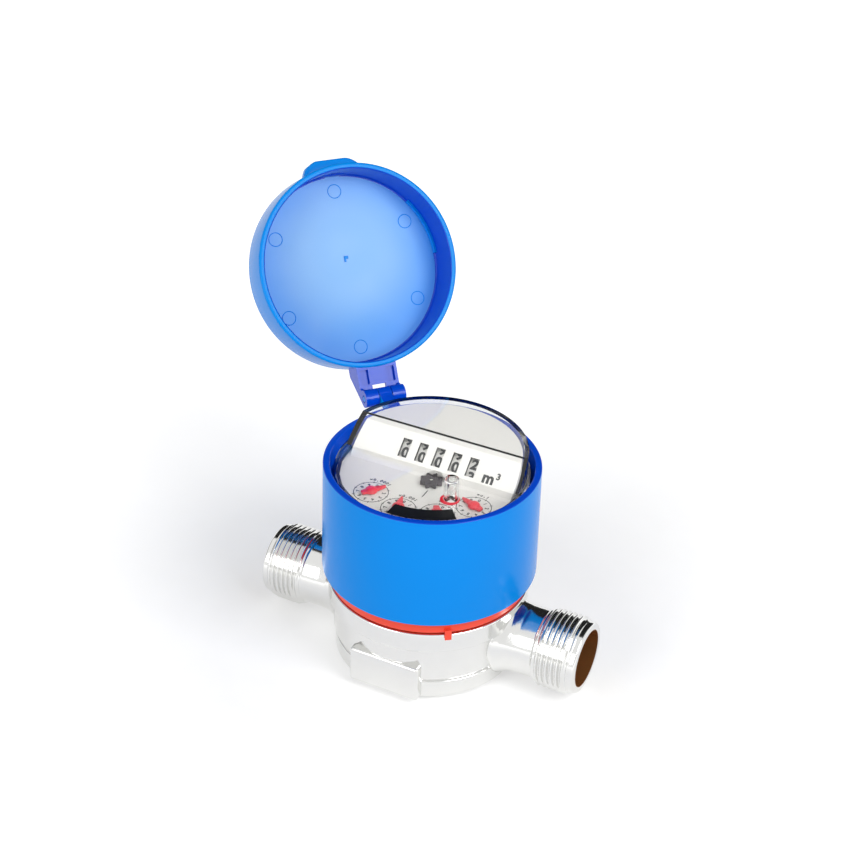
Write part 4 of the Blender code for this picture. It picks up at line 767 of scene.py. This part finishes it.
scale_tree, size = new_tree("pointer_scale", Ticks=10, Ring_radius=5.5, Tick_length=0.9, Tick_width=0.24,
                            Ink=INK)
line = add(scale_tree, "GeometryNodeCurvePrimitiveCircle", {"Resolution": 64, "Radius": size["Ring radius"]})
band = add(scale_tree, "GeometryNodeCurvePrimitiveQuadrilateral", {"Width": size["Tick width"],
                                                                   "Height": size["Ink"]})
hoop = add(scale_tree, "GeometryNodeCurveToMesh", {"Curve": line.outputs[0],
                                                   "Profile Curve": band.outputs[0]})
ring = add(scale_tree, "GeometryNodeMeshCircle", {"Vertices": size["Ticks"], "Radius": size["Ring radius"]})
bar_size = add(scale_tree, "ShaderNodeCombineXYZ", {0: size["Tick length"], 1: size["Tick width"],
                                                    2: size["Ink"]})
bar = add(scale_tree, "GeometryNodeMeshCube", {"Size": bar_size.outputs[0]})
where = add(scale_tree, "GeometryNodeInputPosition")
face = add(scale_tree, "FunctionNodeAlignRotationToVector", {"Vector": where.outputs[0]}, axis="X")
ticks = add(scale_tree, "GeometryNodeInstanceOnPoints", {"Points": ring.outputs[0],
                                                         "Instance": bar.outputs[0],
                                                         "Rotation": face.outputs[0]})
whole = add(scale_tree, "GeometryNodeJoinGeometry", {0: ticks.outputs[0]})
scale_tree.links.new(hoop.outputs[0], whole.inputs[0])
group = add(scale_tree, "GeometryNodeGeometryToInstance", {0: whole.outputs[0]})
dials = add(scale_tree, "GeometryNodeInstanceOnPoints", {"Points": size["Geometry"],
                                                         "Instance": group.outputs[0]})
real = add(scale_tree, "GeometryNodeRealizeInstances", {0: dials.outputs[0]})
inked = add(scale_tree, "GeometryNodeSetMaterial", {"Geometry": real.outputs[0], "Material": print_and_shade_black})
add(scale_tree, "NodeGroupOutput", {0: inked.outputs[0]})
centres = bpy.data.meshes.new("pointer_spots")
centres.from_pydata([(x, y, DIAL_LEVEL) for x, y in POINTERS], [], [])
piece(grown("pointer_scales", scale_tree, centres, Ticks=10), print_and_shade_black, "register", "white_plastic")

# %% The figures round the pointers and their captions
entries = []
captions = ["0,0001", "0,001", "0,01", "0,1"]
for (x, y), caption in zip(POINTERS, captions):
    for digit in range(10):
        turn = math.radians(90.0 - 36.0 * digit)
        spot = (x + 4.1 * math.cos(turn), y + 4.1 * math.sin(turn))
        entries.append((figure(str(digit), 1.15), laid_flat(*spot, turn - math.pi / 2)))
    word = "×" + caption
    for i, letter in enumerate(word):
        turn = math.radians(90.0 + 9.0 * (len(word) - 1) / 2.0 - 9.0 * i)
        spot = (x + 7.1 * math.cos(turn), y + 7.1 * math.sin(turn))
        entries.append((figure(letter, 1.2), laid_flat(*spot, turn - math.pi / 2)))
entries.append((block("tick", (2.7, -12.9, 0.0), (3.05, -8.9, INK)).data, laid_flat(0, 0, 0.0)))
bpy.data.objects.remove(bpy.data.objects["tick"])
printed("dial_figures", "register", entries)

# %% The unit beside the windows
down = Vector((0.0, -math.cos(SLOPE), -math.sin(SLOPE)))
ON_SLOPE = Matrix.Rotation(SLOPE, 4, "X")
entries = []
for text, height, x, drop in (("m", 3.6, 18.95, 7.5), ("3", 2.0, 22.0, 6.3)):
    spot = Vector((x, DIAL_EDGE, DIAL_TOP)) + down * drop
    entries.append((figure(text, height), Matrix.Translation(spot) @ ON_SLOPE))
printed("unit_mark", "register", entries)

# %% [markdown]
# ## Figures on the rollers
#
# Each roller carries ten figures, 36 degrees apart. A flat figure would cut into the drum, so it is first
# sliced into strips 0.4 mm high and then wrapped round the drum's radius. The figures go up as water flows,
# so the next one comes from below.

# %% Wrap ten figures round each roller
DRUM = (8.877, 65.102)
DRUM_RADIUS = 7.0
READING = [0.0, 0.0, 0.0, 0.0, 2.6]
SEEN_AT = math.radians(141.0)


def wrapped(mesh, x, angle):
    """A flat figure wrapped on the drum at an angle round it."""
    bm = bmesh.new()
    bm.from_mesh(mesh)
    for i in range(-5, 6):
        parts = bm.verts[:] + bm.edges[:] + bm.faces[:]
        bmesh.ops.bisect_plane(bm, geom=parts, plane_co=(0, i * 0.4, 0), plane_no=(0, 1, 0))
    for vert in bm.verts:
        turn = angle - vert.co.y / DRUM_RADIUS
        reach = DRUM_RADIUS + 0.02 + vert.co.z
        vert.co = (x + vert.co.x, DRUM[0] + reach * math.cos(turn), DRUM[1] + reach * math.sin(turn))
    bm.to_mesh(mesh)
    bm.free()
    return mesh


for i, x in enumerate(ROLLERS):
    entries = []
    for digit in range(10):
        angle = SEEN_AT + math.radians(36.0) * (digit - READING[i])
        entries.append((wrapped(figure(str(digit), 3.4), x, angle), Matrix.Identity(4)))
    printed("roller_figures_%d" % (i + 1), "drum_%d" % (i + 1), entries)

# %% [markdown]
# ## Marks on the cover
#
# A bare black label lies on the front of the cover and follows its round edge, and a red crescent lies in
# front of the boss's foot. Both are thin and carry no words.

# %% The bare label and the red crescent at the boss
COVER_LEVEL = 69.6
LABEL_START = -92.0
LABEL_SWEEP = 43.0
LABEL_INSIDE = 24.0
LABEL_OUTSIDE = 29.5
arc = [math.radians(LABEL_START + LABEL_SWEEP * i / 30.0) for i in range(31)]
outline = [(LABEL_OUTSIDE * math.cos(a), LABEL_OUTSIDE * math.sin(a)) for a in arc]
outline += [(LABEL_INSIDE * math.cos(a), LABEL_INSIDE * math.sin(a)) for a in reversed(arc)]
label = prism("bare_black_label", outline, COVER_LEVEL + 0.01, COVER_LEVEL + 0.08, "Z")
piece(label, print_and_shade_black, "register", "clear_polycarbonate")

crescent = upright("red_boss_ring", 3.1, COVER_LEVEL + 0.12, COVER_LEVEL + 0.01, (BOSS[0], BOSS[1] - 0.75))
combine(crescent, "DIFFERENCE", upright("inside", 2.45, 71.0, 69.0, BOSS))
piece(crescent, pointer_red, "register", "red_plastic")

# %% [markdown]
# ## Light, floor and camera
#
# The meter stands on a pale studio floor. The world gives soft light from all sides, and two soft boxes add
# to it: one on the right, which lights the open lid's inner face, and a larger one at the front left. Camera,
# glossy and glass rays see a white world. A dark card behind and a grey one on the left are seen only in
# reflections. They draw the dark bands along the plated stubs that tell polished metal from white paint.

# %% The studio
scene = bpy.context.scene
scene.view_settings.view_transform = "Standard"
world = bpy.data.worlds.new("studio")
scene.world = world
world.use_nodes = True
tree = world.node_tree
tree.nodes.clear()
rays = add(tree, "ShaderNodeLightPath")
seen = add(tree, "ShaderNodeMath", {0: rays.outputs["Is Camera Ray"], 1: rays.outputs["Is Glossy Ray"]},
           operation="MAXIMUM")
seen = add(tree, "ShaderNodeMath", {0: seen.outputs[0], 1: rays.outputs["Is Transmission Ray"]},
           operation="MAXIMUM")
level = add(tree, "ShaderNodeMapRange", {0: seen.outputs[0], 3: 0.42, 4: 1.0})
sky = add(tree, "ShaderNodeBackground", {"Color": linear("#FFFFFF"), "Strength": level.outputs[0]})
add(tree, "ShaderNodeOutputWorld", {0: sky.outputs[0]})


def soft_box(name, place, aim, width, watts):
    """A square area lamp that points at a spot."""
    lamp = bpy.data.lights.new(name, "AREA")
    lamp.size = width
    lamp.energy = watts
    holder = bpy.data.objects.new(name, lamp)
    holder.location = place
    holder.rotation_euler = (Vector(aim) - Vector(place)).to_track_quat("-Z", "Y").to_euler()
    scene.collection.objects.link(holder)


soft_box("right_soft_box", (0.50, -0.16, 0.46), (-0.02, 0.02, 0.09), 0.32, 2.3)
soft_box("left_soft_box", (-0.27, -0.75, 0.38), (0.0, 0.0, 0.05), 0.45, 2.7)

# %% The floor and the two cards
paper, tree, place = new_finish("pale studio paper")
fibre = add(tree, "ShaderNodeTexNoise", {"Vector": place, "Scale": 1000.0 / 8.0})
tone = add(tree, "ShaderNodeMapRange", {0: fibre.outputs["Fac"], 3: 0.80, 4: 0.84})
matt = add(tree, "ShaderNodeBsdfDiffuse", {"Color": tone.outputs[0]})
rays = add(tree, "ShaderNodeLightPath")
away = add(tree, "ShaderNodeVectorMath", {0: place}, operation="LENGTH")
fading = add(tree, "ShaderNodeMapRange", {0: away.outputs["Value"], 1: 0.07, 2: 0.26, 3: 0.30, 4: 0.72})
indirect = add(tree, "ShaderNodeMath", {0: 1.0, 1: rays.outputs["Is Diffuse Ray"]}, operation="SUBTRACT")
glow = add(tree, "ShaderNodeMath", {0: fading.outputs[0], 1: indirect.outputs[0]}, operation="MULTIPLY")
lift = add(tree, "ShaderNodeEmission", {"Color": linear("#FFFFFF"), "Strength": glow.outputs[0]})
both = add(tree, "ShaderNodeAddShader", {0: matt.outputs[0], 1: lift.outputs[0]})
add(tree, "ShaderNodeOutputMaterial", {0: both.outputs[0]})
floor = prism("floor", [(-6, -6), (6, -6), (6, 6), (-6, 6)], -0.011, -0.001, "Z")
floor.data.materials.append(paper)


def card(name, glow, width, height, place, turn):
    """A card that only reflections show, with the light that it gives off."""
    paint, tree = new_finish(name + " paint")[:2]
    add(tree, "ShaderNodeOutputMaterial", {0: add(tree, "ShaderNodeEmission", {"Strength": glow}).outputs[0]})
    sheet = block(name, (-width / 2, -height / 2, 0.0), (width / 2, height / 2, 0.01))
    sheet.data.materials.append(paint)
    for switch in ("visible_camera", "visible_diffuse", "visible_transmission", "visible_shadow"):
        setattr(sheet, switch, False)
    return moved(sheet, Matrix.Translation(place) @ turn)


leaning = Matrix.Rotation(math.radians(-43.0), 4, "X")
upended = Matrix.Rotation(math.radians(90.0), 4, "Y")
dark_card = card("dark_card", 0.02, 1.10, 1.00, (-0.15, 0.45, 0.36), leaning)
grey_card = card("grey_card", 0.42, 0.40, 0.60, (-0.62, -0.10, 0.22), upended)
print("staged the floor and two cards")

# %% The camera
lens = bpy.data.cameras.new("camera")
lens.lens = 74.24
lens.sensor_width = 36.0
lens.clip_start = 0.01
camera = bpy.data.objects.new("camera", lens)
camera.location = (0.200505, -0.421483, 0.376073)
camera.rotation_mode = "QUATERNION"
camera.rotation_quaternion = Quaternion((0.8491352, 0.4748037, 0.10096595, 0.20817479))
scene.collection.objects.link(camera)
scene.camera = camera
print("camera", [round(v, 3) for v in camera.location])
